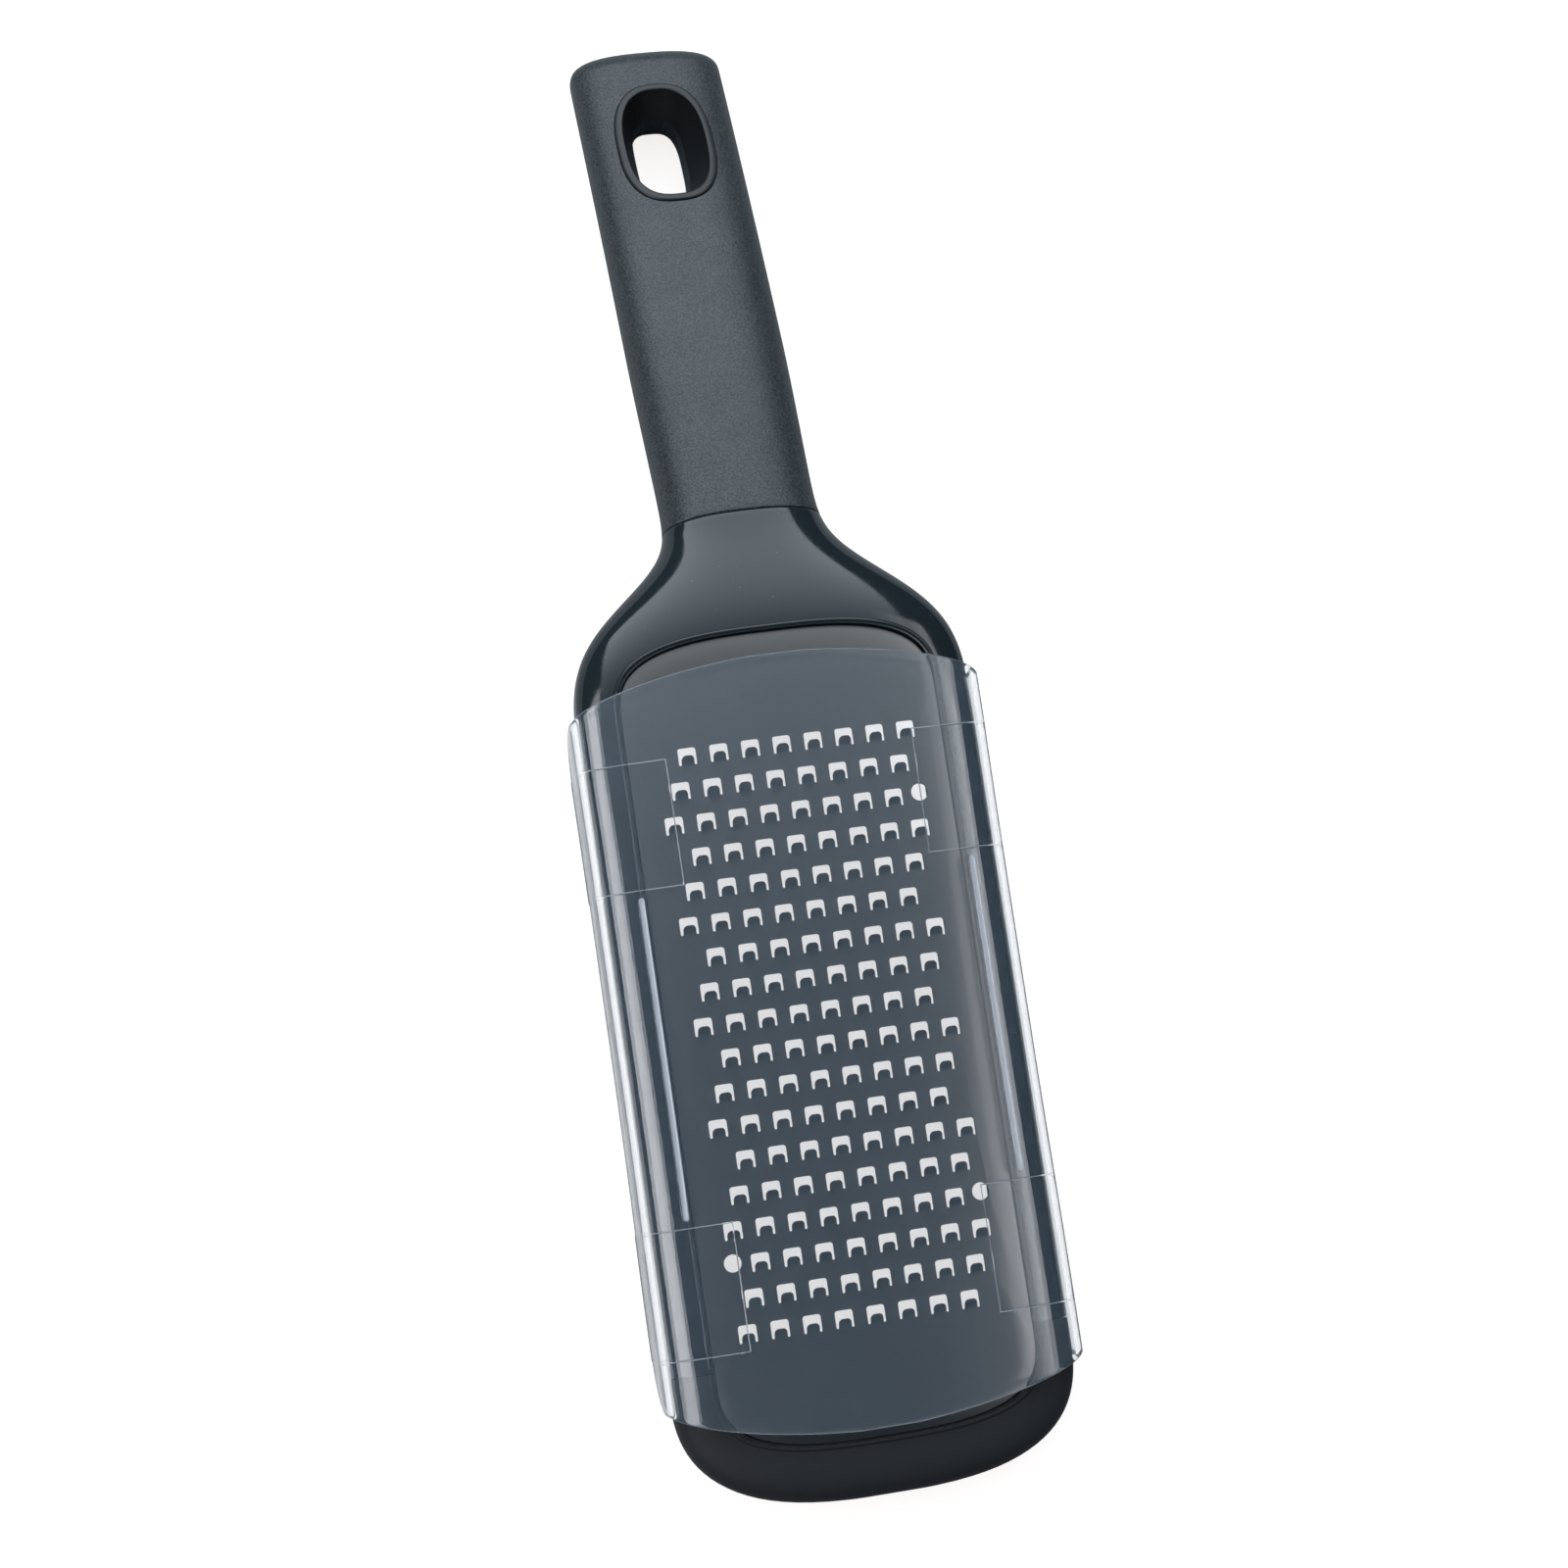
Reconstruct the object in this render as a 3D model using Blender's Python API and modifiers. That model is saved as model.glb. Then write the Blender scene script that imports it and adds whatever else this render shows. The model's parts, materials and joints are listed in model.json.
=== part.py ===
"""Hand grater with a clear slide-on cover.

A convex steel plate with 144 pressed-up teeth is moulded into a glossy frame.
The frame's neck bends back into a tang, which a matte grip sleeves.
A soft foot caps the far end, a dark funnel lines the hanging hole, and a
clear cover slides over the blade from the foot end.

The pieces are laid out on the blade in millimetres: X across, Y toward the
handle, Z out of the cutting face, zero at the middle of the tooth pattern.
The whole is then tipped to lie on its foot and on the end of its grip.
"""

import math

import bmesh
import bpy
import numpy as np
from mathutils import Vector, geometry

MM = 0.001

# Tooth pattern
TOOTH_COLUMNS = 8
TOOTH_ROWS = 18
COLUMN_PITCH = 6.0
ROW_PITCH = 6.3
ROW_SHIFT = 2.1
ROWS_PER_STAGGER = 3
SLOT_WIDTH = 3.45
SLOT_HEIGHT = 3.3
SLOT_CORNER = 0.55
SLOT_SETBACK = 0.45
TONGUE_WIDTH = 2.35
TONGUE_LENGTH = 1.77
TONGUE_ARCH = 0.3
TONGUE_RISE = 0.9

# Blade plate
BLADE_SIDE_MARGIN = 6.9
BLADE_NECK_MARGIN = 21.2
BLADE_FOOT_MARGIN = 22.4
BLADE_END_ROUND = 14.0
BLADE_END_POWER = 3.0
BLADE_CROWN_RADIUS = 320.0
BLADE_THICKNESS = 0.5
GAUGE_HOLE_DIAMETER = 3.3
GAUGE_HOLE_SIDES = 10
GAUGE_HOLE_OUTSET = 0.9
GAUGE_HOLE_ROWS = ((1, 2), (1, 14), (-1, 15))

# Frame: rails, neck and tang
SEAT_GAP = 0.3
LEDGE_WIDTH = 1.8
END_LEDGE_WIDTH = 3.5
RAIL_WIDTH = 8.0
HEAD_DEPTH = 14.0
FRAME_BELOW_CROWN = 0.3
HEAD_TOP_POWER = 4.0
HEAD_BASE_POWER = 8.0
NECK_BESIDE_BLADE = 23.25
NECK_LENGTH = 46.3
NECK_BEND = math.radians(15.9)
NECK_HUMP = 2.4
NECK_FLARE = 35.1
NECK_FLARE_POWER = 4.76
NECK_ROUNDING_POWER = 0.5
TANG_LENGTH = 62.0
TANG_HALF_WIDTH = 9.5
TANG_HALF_DEPTH = 4.5

# Grip
HANDLE_LENGTH = 113.5
HANDLE_BOW = math.radians(5.87)
GRIP_START_HALF_WIDTH = 15.07
GRIP_HALF_WIDTH = 15.64
GRIP_WIDENING = 41.0
GRIP_START_HALF_DEPTH = 8.5
GRIP_END_HALF_DEPTH = 6.6
GRIP_POWER = 2.5
GRIP_END_ROUND = 6.0
GRIP_END_POWER = 3.0

# Hanging hole and its liner
HOLE_FROM_END = 27.1
HOLE_LEAN = math.radians(11.3)
LIP_HALF_WIDTH = 9.85
LIP_HALF_LENGTH = 14.8
LIP_BAND = 1.65
LIP_HEIGHT = 0.6
LINER_WALL = 1.3
LINER_THROAT_HALF_WIDTH = 5.2
LINER_THROAT_HALF_LENGTH = 10.7
LINER_DEPTH = 8.85
THROAT_TAPER = 0.6
HOLE_POWER = 2.35

# Foot
FOOT_LENGTH = 26.95
FOOT_SKIN = 2.2
FOOT_END_BAR = 11.0
FOOT_END_ROUND = 24.0
FOOT_END_POWER = 2.8
FOOT_TIP_HALF_DEPTH = 0.8
FOOT_TOP_RISE = 0.6
FOOT_SOLE_DROP = 1.4
FOOT_SOLE_POWER = 3.0
EDGE_ROUND_POWER = 6.0

# Cover
COVER_WALL = 1.2
COVER_SIDE_GAP = 0.4
COVER_HEADROOM = 2.0
COVER_NECK_SETBACK = 4.45
COVER_FOOT_SETBACK = 1.35
COVER_END_ROUND = 8.6
COVER_END_POWER = 1.6
COVER_CORNER_LENGTH = 8.5
COVER_CORNER_HEIGHT = 9.0
HOOK_REACH = 3.6
HOOK_THICKNESS = 1.2
HOOK_GAP = 0.3
HOOK_LENGTH = 23.6
HOOK_INSET = 17.55
RUNNER_FROM_SIDE = 6.2
RUNNER_WIDTH = 1.2
RUNNER_INSET = 42.45
RUNNER_GAP = 0.3

# How it lies on a table
LAND_DEPTH = 0.4

RING_POINTS = 36
OUTLINE_POINTS = 12
SHARP_ANGLE = math.radians(35)
OVERSHOOT = 20.0

PATTERN_HALF_WIDTH = (TOOTH_COLUMNS - 1) * COLUMN_PITCH / 2 + ROW_SHIFT
PATTERN_HALF_LENGTH = (TOOTH_ROWS - 1) * ROW_PITCH / 2
BLADE_HALF_WIDTH = PATTERN_HALF_WIDTH + BLADE_SIDE_MARGIN
BLADE_NECK_END = PATTERN_HALF_LENGTH + BLADE_NECK_MARGIN
BLADE_FOOT_END = PATTERN_HALF_LENGTH + BLADE_FOOT_MARGIN
GAUGE_HOLE_X = PATTERN_HALF_WIDTH + GAUGE_HOLE_OUTSET
HEAD_HALF_WIDTH = BLADE_HALF_WIDTH + RAIL_WIDTH
HEAD_HALF_DEPTH = HEAD_DEPTH / 2
HEAD_MIDDLE = -FRAME_BELOW_CROWN - HEAD_HALF_DEPTH
NECK_START = BLADE_NECK_END - NECK_BESIDE_BLADE
FOOT_END = BLADE_FOOT_END + FOOT_END_BAR
FOOT_SEAM = FOOT_END - FOOT_LENGTH
GRIP_END = NECK_LENGTH + HANDLE_LENGTH
COVER_INNER_HALF_WIDTH = HEAD_HALF_WIDTH + COVER_SIDE_GAP
COVER_NECK_END = BLADE_NECK_END - COVER_NECK_SETBACK
COVER_FOOT_END = BLADE_FOOT_END - COVER_FOOT_SETBACK
COVER_MIDDLE = (COVER_NECK_END - COVER_FOOT_END) / 2
COVER_HALF_LENGTH = (COVER_NECK_END + COVER_FOOT_END) / 2
HOOK_TOP = HEAD_MIDDLE - HEAD_HALF_DEPTH - HOOK_GAP
RUNNER_X = HEAD_HALF_WIDTH - RUNNER_FROM_SIDE

for leftover in list(bpy.data.objects):
    bpy.data.objects.remove(leftover, do_unlink=True)


def new_collection(name):
    """A collection linked to the scene."""
    collection = bpy.data.collections.new(name)
    bpy.context.scene.collection.children.link(collection)
    return collection


parts = new_collection("hand_grater")
cutters = new_collection("cutters")
resting = bpy.data.objects.new("resting", None)
parts.objects.link(resting)


def material(name, red, green, blue, metallic, roughness):
    """A Principled material of one colour."""
    made = bpy.data.materials.new(name)
    made.use_nodes = True
    shader = made.node_tree.nodes["Principled BSDF"]
    shader.inputs["Base Color"].default_value = (red, green, blue, 1.0)
    shader.inputs["Metallic"].default_value = metallic
    shader.inputs["Roughness"].default_value = roughness
    return made


def add_piece(name, mesh, look):
    """A visible piece, riding on the resting frame, shaded smooth."""
    piece = bpy.data.objects.new(name, mesh)
    piece.data.materials.append(look)
    piece.data.shade_smooth()
    piece.data.set_sharp_from_angle(angle=SHARP_ANGLE)
    piece.parent = resting
    parts.objects.link(piece)
    return piece


def add_cutter(name, mesh):
    """A hidden tool for a Boolean, riding on the resting frame."""
    tool = bpy.data.objects.new(name, mesh)
    tool.parent = resting
    tool.hide_render = True
    tool.display_type = "WIRE"
    cutters.objects.link(tool)
    return tool


def combine(target, tool, operation="DIFFERENCE"):
    """Cut, join or intersect a piece with a tool."""
    step = target.modifiers.new(tool.name, "BOOLEAN")
    step.operation = operation
    step.solver = "EXACT"
    step.object = tool


def ease(share):
    """S-curve from 0 to 1, level at both ends."""
    share = min(max(share, 0.0), 1.0)
    return share * share * (3.0 - 2.0 * share)


def blend(start, end, share):
    """Value part way from start to end."""
    return start + (end - start) * share


# Sections and outlines, all superellipses: square as the power grows, round at 2


def section(half_width, rise, drop, top_power, base_power):
    """Closed section as rows of x and z, with its own top and base."""
    turn = np.linspace(0.0, 2.0 * math.pi, RING_POINTS, endpoint=False)
    across, up = np.cos(turn), np.sin(turn)
    power = np.where(up >= 0.0, top_power, base_power)
    height = np.where(up >= 0.0, rise, drop)
    x = half_width * np.sign(across) * np.abs(across) ** (2.0 / power)
    z = height * np.sign(up) * np.abs(up) ** (2.0 / power)
    return np.column_stack((x, z))


def section_height(x, half_width, rise, power):
    """Height of a section's top over its middle at x."""
    share = np.minimum(np.abs(x) / half_width, 1.0)
    return rise * (1.0 - share**power) ** (1.0 / power)


def end_shrink(share, power):
    """Width left at a share of the way into a rounded end."""
    return (1.0 - share**power) ** (1.0 / power)


def plan_outline(half_width, neck_end, foot_end, end_round, power):
    """Closed plan outline with straight sides and superelliptic ends."""
    turn = np.linspace(0.0, math.pi, 2 * OUTLINE_POINTS + 1)
    x = half_width * np.sign(np.cos(turn)) * np.abs(np.cos(turn)) ** (2.0 / power)
    bulge = end_round * np.abs(np.sin(turn)) ** (2.0 / power)
    neck = np.column_stack((x, neck_end - end_round + bulge))
    foot = np.column_stack((-x, -foot_end + end_round - bulge))
    return np.vstack((neck, foot))


def blade_plan(inset, end_inset):
    """The blade's outline drawn in by an amount; a negative one grows it."""
    return plan_outline(
        BLADE_HALF_WIDTH - inset,
        BLADE_NECK_END - end_inset,
        BLADE_FOOT_END - end_inset,
        BLADE_END_ROUND,
        BLADE_END_POWER,
    )


def crown(x):
    """Height of the blade's convex face at x."""
    return -np.square(x) / (2.0 * BLADE_CROWN_RADIUS)


# Mesh makers


def mesh_from(bm, name):
    """Finish a bmesh with its faces pointing out."""
    bmesh.ops.recalc_face_normals(bm, faces=bm.faces)
    mesh = bpy.data.meshes.new(name)
    bm.to_mesh(mesh)
    bm.free()
    return mesh


def loft(name, rings, closed=False):
    """Skin rings of equal count, capped at both ends or closed into a loop."""
    bm = bmesh.new()
    loops = [[bm.verts.new(point * MM) for point in ring] for ring in rings]
    pairs = list(zip(loops, loops[1:]))
    if closed:
        pairs.append((loops[-1], loops[0]))
    else:
        bm.faces.new(loops[0])
        bm.faces.new(loops[-1])
    for near, far in pairs:
        for i in range(len(near)):
            j = (i + 1) % len(near)
            bm.faces.new((near[i], near[j], far[j], far[i]))
    return mesh_from(bm, name)


def extrusion(name, outline, low, high, axis="z"):
    """Prism over a closed outline, drawn along Z or along Y."""
    bm = bmesh.new()
    if axis == "z":
        points = [Vector((u, v, low)) for u, v in outline]
        travel = Vector((0.0, 0.0, high - low))
    else:
        points = [Vector((u, low, v)) for u, v in outline]
        travel = Vector((0.0, high - low, 0.0))
    base = bm.faces.new([bm.verts.new(point * MM) for point in points])
    grown = bmesh.ops.extrude_face_region(bm, geom=[base])
    moved = [item for item in grown["geom"] if isinstance(item, bmesh.types.BMVert)]
    bmesh.ops.translate(bm, vec=travel * MM, verts=moved)
    return mesh_from(bm, name)


def box(name, low, high):
    """Box between two corners."""
    outline = ((low[0], low[1]), (high[0], low[1]), (high[0], high[1]), (low[0], high[1]))
    return extrusion(name, outline, low[2], high[2])


# Blade: one sheet with its slots cut by the triangulation, teeth raised


def tooth_centres():
    """Middle of each slot, just behind its row line; rows step sideways in threes."""
    for row in range(TOOTH_ROWS):
        shift = ROW_SHIFT * (1 - row % ROWS_PER_STAGGER)
        y = PATTERN_HALF_LENGTH - row * ROW_PITCH - SLOT_SETBACK
        for column in range(TOOTH_COLUMNS):
            x = (column - (TOOTH_COLUMNS - 1) / 2) * COLUMN_PITCH + shift
            yield x, y


def slot_outline():
    """Arched slot round a tongue, with each point's rise, from the left leg round."""
    side, top = SLOT_WIDTH / 2, SLOT_HEIGHT / 2
    tongue = TONGUE_WIDTH / 2
    shoulder = tongue - SLOT_CORNER
    tip = TONGUE_LENGTH - top
    return (
        (-side, -top, 0.0),
        (-side, top - SLOT_CORNER, 0.0),
        (-side + SLOT_CORNER, top, 0.0),
        (side - SLOT_CORNER, top, 0.0),
        (side, top - SLOT_CORNER, 0.0),
        (side, -top, 0.0),
        (tongue, -top, 0.0),
        (tongue, tip - TONGUE_ARCH, TONGUE_RISE),
        (shoulder, tip, TONGUE_RISE),
        (-shoulder, tip, TONGUE_RISE),
        (-tongue, tip - TONGUE_ARCH, TONGUE_RISE),
        (-tongue, -top, 0.0),
    )


def gauge_hole_outlines():
    """Round holes beside the outer teeth."""
    turn = np.linspace(0.0, 2.0 * math.pi, GAUGE_HOLE_SIDES, endpoint=False)
    radius = GAUGE_HOLE_DIAMETER / 2
    ring = radius * np.column_stack((np.cos(turn), np.sin(turn)))
    for side, row in GAUGE_HOLE_ROWS:
        yield ring + (side * GAUGE_HOLE_X, PATTERN_HALF_LENGTH - row * ROW_PITCH)


def bend_lines():
    """Inner points that let the flat margins follow the crown."""
    columns = np.linspace(-BLADE_HALF_WIDTH, BLADE_HALF_WIDTH, TOOTH_COLUMNS)[1:-1]
    past_teeth = PATTERN_HALF_LENGTH + ROW_PITCH
    neck = [(x, past_teeth) for x in columns]
    foot = [(x, -past_teeth) for x in columns]
    return neck + foot


def inside(points, outline):
    """Which points lie inside a closed outline, by counting crossings."""
    result = np.zeros(len(points), dtype=bool)
    px, py = points[:, 0], points[:, 1]
    for (ax, ay), (bx, by) in zip(outline, np.roll(outline, -1, axis=0)):
        if ay == by:
            continue
        crosses = (ay > py) != (by > py)
        reach = ax + (py - ay) * (bx - ax) / (by - ay)
        result ^= crosses & (px < reach)
    return result


def blade_mesh():
    """Flat sheet cut to its outline and slots, then crowned, teeth pressed up."""
    outline = blade_plan(0.0, 0.0)
    slot = np.array(slot_outline())
    openings = [slot[:, :2] + centre for centre in tooth_centres()]
    rises = [slot[:, 2]] * len(openings)
    holes = list(gauge_hole_outlines())
    loops = [outline] + openings + holes
    points, lifts, edges = [], [], []
    for index, loop in enumerate(loops):
        first, count = len(points), len(loop)
        points.extend(loop)
        is_slot = 0 < index <= len(openings)
        lifts.extend(rises[index - 1] if is_slot else np.zeros(count))
        edges.extend((first + i, first + (i + 1) % count) for i in range(count))
        if is_slot:
            edges.append((first + count // 2, first + count - 1))
    for x, y in bend_lines():
        points.append((x, y))
        lifts.append(0.0)
    flat, _, faces, origins, _, _ = geometry.delaunay_2d_cdt(
        [Vector(point) for point in points], edges, [], 0, 1e-5
    )
    flat = np.array([tuple(point) for point in flat])
    lift = np.array([lifts[source[0]] if source else 0.0 for source in origins])
    middles = np.array([flat[list(face)].mean(axis=0) for face in faces])
    kept = inside(middles, outline)
    for loop in openings + holes:
        near = np.abs(middles - loop.mean(axis=0)).max(axis=1) < ROW_PITCH
        kept[near] &= ~inside(middles[near], loop)
    used = [face for face, keep in zip(faces, kept) if keep]
    height = crown(flat[:, 0]) + lift
    corners = np.column_stack((flat, height)) * MM
    mesh = bpy.data.meshes.new("blade")
    mesh.from_pydata(corners.tolist(), [], used)
    return mesh


steel = material("stainless_steel", 0.42, 0.44, 0.46, 1.0, 0.3)
gloss = material("gloss_abs", 0.045, 0.055, 0.06, 0.0, 0.15)
matte = material("matte_grip_coat", 0.07, 0.085, 0.092, 0.0, 0.55)
soft = material("soft_foot_rubber", 0.025, 0.026, 0.028, 0.0, 0.7)
clear = material("clear_styrene", 0.8, 0.84, 0.87, 0.0, 0.08)

blade = add_piece("blade", blade_mesh(), steel)
thicken = blade.modifiers.new("plate", "SOLIDIFY")
thicken.thickness = BLADE_THICKNESS * MM
thicken.offset = -1.0


# Centre line: straight through the head, an arc in the neck, a flatter arc in
# the handle; a run is measured along it from the start of the neck


def centre_line(run):
    """Middle point and downward slope at a run along the centre line."""
    if run <= 0.0:
        return NECK_START + run, HEAD_MIDDLE, 0.0
    neck_radius = NECK_LENGTH / NECK_BEND
    slope = NECK_BEND * min(run / NECK_LENGTH, 1.0)
    y = NECK_START + neck_radius * math.sin(slope)
    z = HEAD_MIDDLE - neck_radius * (1.0 - math.cos(slope))
    if run > NECK_LENGTH:
        bow_radius = HANDLE_LENGTH / HANDLE_BOW
        slope = NECK_BEND + (run - NECK_LENGTH) / bow_radius
        y += bow_radius * (math.sin(slope) - math.sin(NECK_BEND))
        z -= bow_radius * (math.cos(NECK_BEND) - math.cos(slope))
    return y, z, slope


def stand(points, run, along=0.0):
    """Place section points square to the centre line, shifted along it."""
    y, z, slope = centre_line(run)
    forward = along + np.zeros(len(points))
    up = points[:, 1]
    return np.column_stack((
        points[:, 0],
        y + forward * math.cos(slope) + up * math.sin(slope),
        z - forward * math.sin(slope) + up * math.cos(slope),
    ))


def foot_form(share, skin):
    """Foot section a share of the way into its rounded end, less a skin."""
    toward = ease(share)
    width = (HEAD_HALF_WIDTH - skin) * end_shrink(share, FOOT_END_POWER)
    edge = end_shrink(share, EDGE_ROUND_POWER)
    rise = (HEAD_HALF_DEPTH + FOOT_TOP_RISE * toward) * edge - skin
    drop = (HEAD_HALF_DEPTH + FOOT_SOLE_DROP * toward) * edge - skin
    rise = max(rise, FOOT_TIP_HALF_DEPTH)
    drop = max(drop, FOOT_TIP_HALF_DEPTH)
    base = blend(HEAD_BASE_POWER, FOOT_SOLE_POWER, toward)
    points = section(width, rise, drop, HEAD_TOP_POWER, base)
    y = FOOT_END_ROUND - FOOT_END - (FOOT_END_ROUND - skin) * share
    return stand(points, y - NECK_START)


def foot_rings(skin):
    """Rings from the tip of the foot end back to where it starts to round."""
    turns = np.radians((83.0, 76.0, 68.0, 58.0, 46.0, 33.0, 18.0, 0.0))
    return [foot_form(share, skin) for share in np.sin(turns)]


def neck_width(run):
    """Half width that falls in a bell curve from the head's to the grip's start."""
    bell = math.exp(-((run / NECK_FLARE) ** NECK_FLARE_POWER))
    return blend(GRIP_START_HALF_WIDTH, HEAD_HALF_WIDTH, bell)


def neck_section(run):
    """Neck section: wide head to narrow grip, humped behind the blade."""
    share = run / NECK_LENGTH
    depth = blend(HEAD_HALF_DEPTH, GRIP_START_HALF_DEPTH, ease(share))
    hump = NECK_HUMP * math.sin(math.pi * share) ** 2
    rounding = ease(share**NECK_ROUNDING_POWER)
    top = blend(HEAD_TOP_POWER, GRIP_POWER, rounding)
    base = blend(HEAD_BASE_POWER, GRIP_POWER, rounding)
    return section(neck_width(run), depth + hump, depth, top, base)


def head_section(skin=0.0):
    """Plain section through the rails."""
    depth = HEAD_HALF_DEPTH - skin
    return section(HEAD_HALF_WIDTH - skin, depth, depth, HEAD_TOP_POWER, HEAD_BASE_POWER)


def tang_section(gap=0.0):
    """Oval of the tang, or of the socket round it."""
    depth = TANG_HALF_DEPTH + gap
    return section(TANG_HALF_WIDTH + gap, depth, depth, GRIP_POWER, GRIP_POWER)


def tang_rings(start, end, gap):
    """Tang or socket rings along the handle's bow."""
    return [stand(tang_section(gap), run) for run in np.linspace(start, end, 5)]


def frame_mesh():
    """Core under the foot, rails, neck and tang in one loft."""
    seam = -FOOT_SEAM - NECK_START
    rings = foot_rings(FOOT_SKIN)
    rings.append(stand(head_section(FOOT_SKIN), seam))
    rings.append(stand(head_section(), seam))
    rings += [stand(neck_section(run), run) for run in np.linspace(0.0, NECK_LENGTH, 13)]
    rings += tang_rings(NECK_LENGTH, NECK_LENGTH + TANG_LENGTH, 0.0)
    return loft("frame", rings)


frame = add_piece("frame", frame_mesh(), gloss)


# Blade seat: a crowned rebate over a through window


def seat_cutter():
    """Room for the blade: its outline, with a floor that follows the crown."""
    floor = BLADE_THICKNESS + SEAT_GAP
    half = BLADE_HALF_WIDTH + OVERSHOOT
    x = np.linspace(-half, half, 15)
    arch = list(zip(x, crown(x) - floor))
    arch += [(half, OVERSHOOT), (-half, OVERSHOOT)]
    reach = BLADE_FOOT_END + OVERSHOOT
    slab = add_cutter("seat_floor", extrusion("seat_floor", arch, -reach, reach, "y"))
    outline = blade_plan(-SEAT_GAP, -SEAT_GAP)
    low = -BLADE_THICKNESS - OVERSHOOT
    plan = add_cutter("seat_room", extrusion("seat_room", outline, low, OVERSHOOT / 2))
    combine(plan, slab, "INTERSECT")
    return plan


def window_cutter():
    """Opening behind the teeth, where the grated food falls through."""
    outline = blade_plan(LEDGE_WIDTH, END_LEDGE_WIDTH)
    low = HEAD_MIDDLE - HEAD_DEPTH
    return add_cutter("window", extrusion("window", outline, low, OVERSHOOT / 2))


seat_room = seat_cutter()
window = window_cutter()
combine(frame, seat_room)
combine(frame, window)


# Foot: full form past the seam, hollowed for the core


def foot_mesh():
    """Outer form of the foot, from its tip to the seam."""
    rings = foot_rings(0.0)
    rings.append(stand(head_section(), -FOOT_SEAM - SEAT_GAP - NECK_START))
    return loft("foot", rings)


def core_room_mesh():
    """The core grown by the seating gap, running out through the seam."""
    skin = FOOT_SKIN - SEAT_GAP
    rings = foot_rings(skin)
    rings.append(stand(head_section(skin), OVERSHOOT - FOOT_SEAM - NECK_START))
    return loft("core_room", rings)


foot = add_piece("foot", foot_mesh(), soft)
combine(foot, add_cutter("core_room", core_room_mesh()))
combine(foot, seat_room)
combine(foot, window)


# Grip: sleeve over the tang, closed and rounded at the hanging end


def grip_sizes(run):
    """Half width, which ends the neck's bell curve and widens, and half depth."""
    along = run - NECK_LENGTH
    widening = (GRIP_HALF_WIDTH - GRIP_START_HALF_WIDTH) * ease(along / GRIP_WIDENING)
    width = neck_width(run) + widening
    depth = blend(GRIP_START_HALF_DEPTH, GRIP_END_HALF_DEPTH, along / HANDLE_LENGTH)
    return width, depth


def grip_ring(run, end_share=0.0):
    """Grip section, drawn in by its share of the rounded end."""
    width, depth = grip_sizes(run)
    width *= end_shrink(end_share, GRIP_END_POWER)
    depth *= end_shrink(end_share, 2.0)
    return stand(section(width, depth, depth, GRIP_POWER, GRIP_POWER), run)


def grip_mesh():
    """Body rings, then the rounded end."""
    start = NECK_LENGTH + SEAT_GAP
    body_end = GRIP_END - GRIP_END_ROUND
    rings = [grip_ring(run) for run in np.linspace(start, body_end, 11)]
    for share in np.sin(np.radians((20.0, 38.0, 54.0, 67.0, 77.0, 84.0))):
        rings.append(grip_ring(body_end + GRIP_END_ROUND * share, share))
    return loft("grip", rings)


grip = add_piece("grip", grip_mesh(), matte)
socket_start = NECK_LENGTH - OVERSHOOT
socket_end = NECK_LENGTH + TANG_LENGTH + SEAT_GAP
socket = add_cutter(
    "tang_socket", loft("tang_socket", tang_rings(socket_start, socket_end, SEAT_GAP))
)
combine(grip, socket)


# Hanging hole: a leaning funnel, then a throat that draws in to the underside


HOLE_RUN = GRIP_END - HOLE_FROM_END
HOLE_TOP = grip_sizes(HOLE_RUN)[1]
THROAT_LEVEL = HOLE_TOP - LINER_DEPTH
THROAT_SHIFT = LINER_DEPTH * math.tan(HOLE_LEAN)
EXIT_SHIFT = 2 * HOLE_TOP * math.tan(HOLE_LEAN)


def hole_ring(half_width, half_length, level, shift=0.0, on_surface=False):
    """Oval round the hole at a level over the centre line or over the surface."""
    turn = np.linspace(0.0, 2.0 * math.pi, RING_POINTS, endpoint=False)
    c, s = np.cos(turn), np.sin(turn)
    x = half_width * np.sign(c) * np.abs(c) ** (2.0 / HOLE_POWER)
    along = half_length * np.sign(s) * np.abs(s) ** (2.0 / HOLE_POWER)
    height = np.full(len(x), level)
    if on_surface:
        width = grip_sizes(HOLE_RUN)[0]
        height = level + section_height(x, width, HOLE_TOP, GRIP_POWER)
    return stand(np.column_stack((x, height)), HOLE_RUN, along + shift)


def liner_mesh():
    """Lip on the surface, funnel down to the throat, and back up outside."""
    mouth_width = LIP_HALF_WIDTH - LIP_BAND
    mouth_length = LIP_HALF_LENGTH - LIP_BAND
    body_width = mouth_width + LINER_WALL - SEAT_GAP
    body_length = mouth_length + LINER_WALL - SEAT_GAP
    round_over = LIP_BAND / 4
    rings = (
        hole_ring(body_width, body_length, SEAT_GAP, 0.0, True),
        hole_ring(LIP_HALF_WIDTH, LIP_HALF_LENGTH, SEAT_GAP, 0.0, True),
        hole_ring(
            LIP_HALF_WIDTH - round_over, LIP_HALF_LENGTH - round_over, LIP_HEIGHT, 0.0, True
        ),
        hole_ring(mouth_width + round_over, mouth_length + round_over, LIP_HEIGHT, 0.0, True),
        hole_ring(mouth_width, mouth_length, 0.0, 0.0, True),
        hole_ring(
            LINER_THROAT_HALF_WIDTH, LINER_THROAT_HALF_LENGTH, THROAT_LEVEL, THROAT_SHIFT
        ),
        hole_ring(
            LINER_THROAT_HALF_WIDTH + LINER_WALL,
            LINER_THROAT_HALF_LENGTH + LINER_WALL,
            THROAT_LEVEL,
            THROAT_SHIFT,
        ),
    )
    return loft("hole_liner", rings, closed=True)


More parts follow.
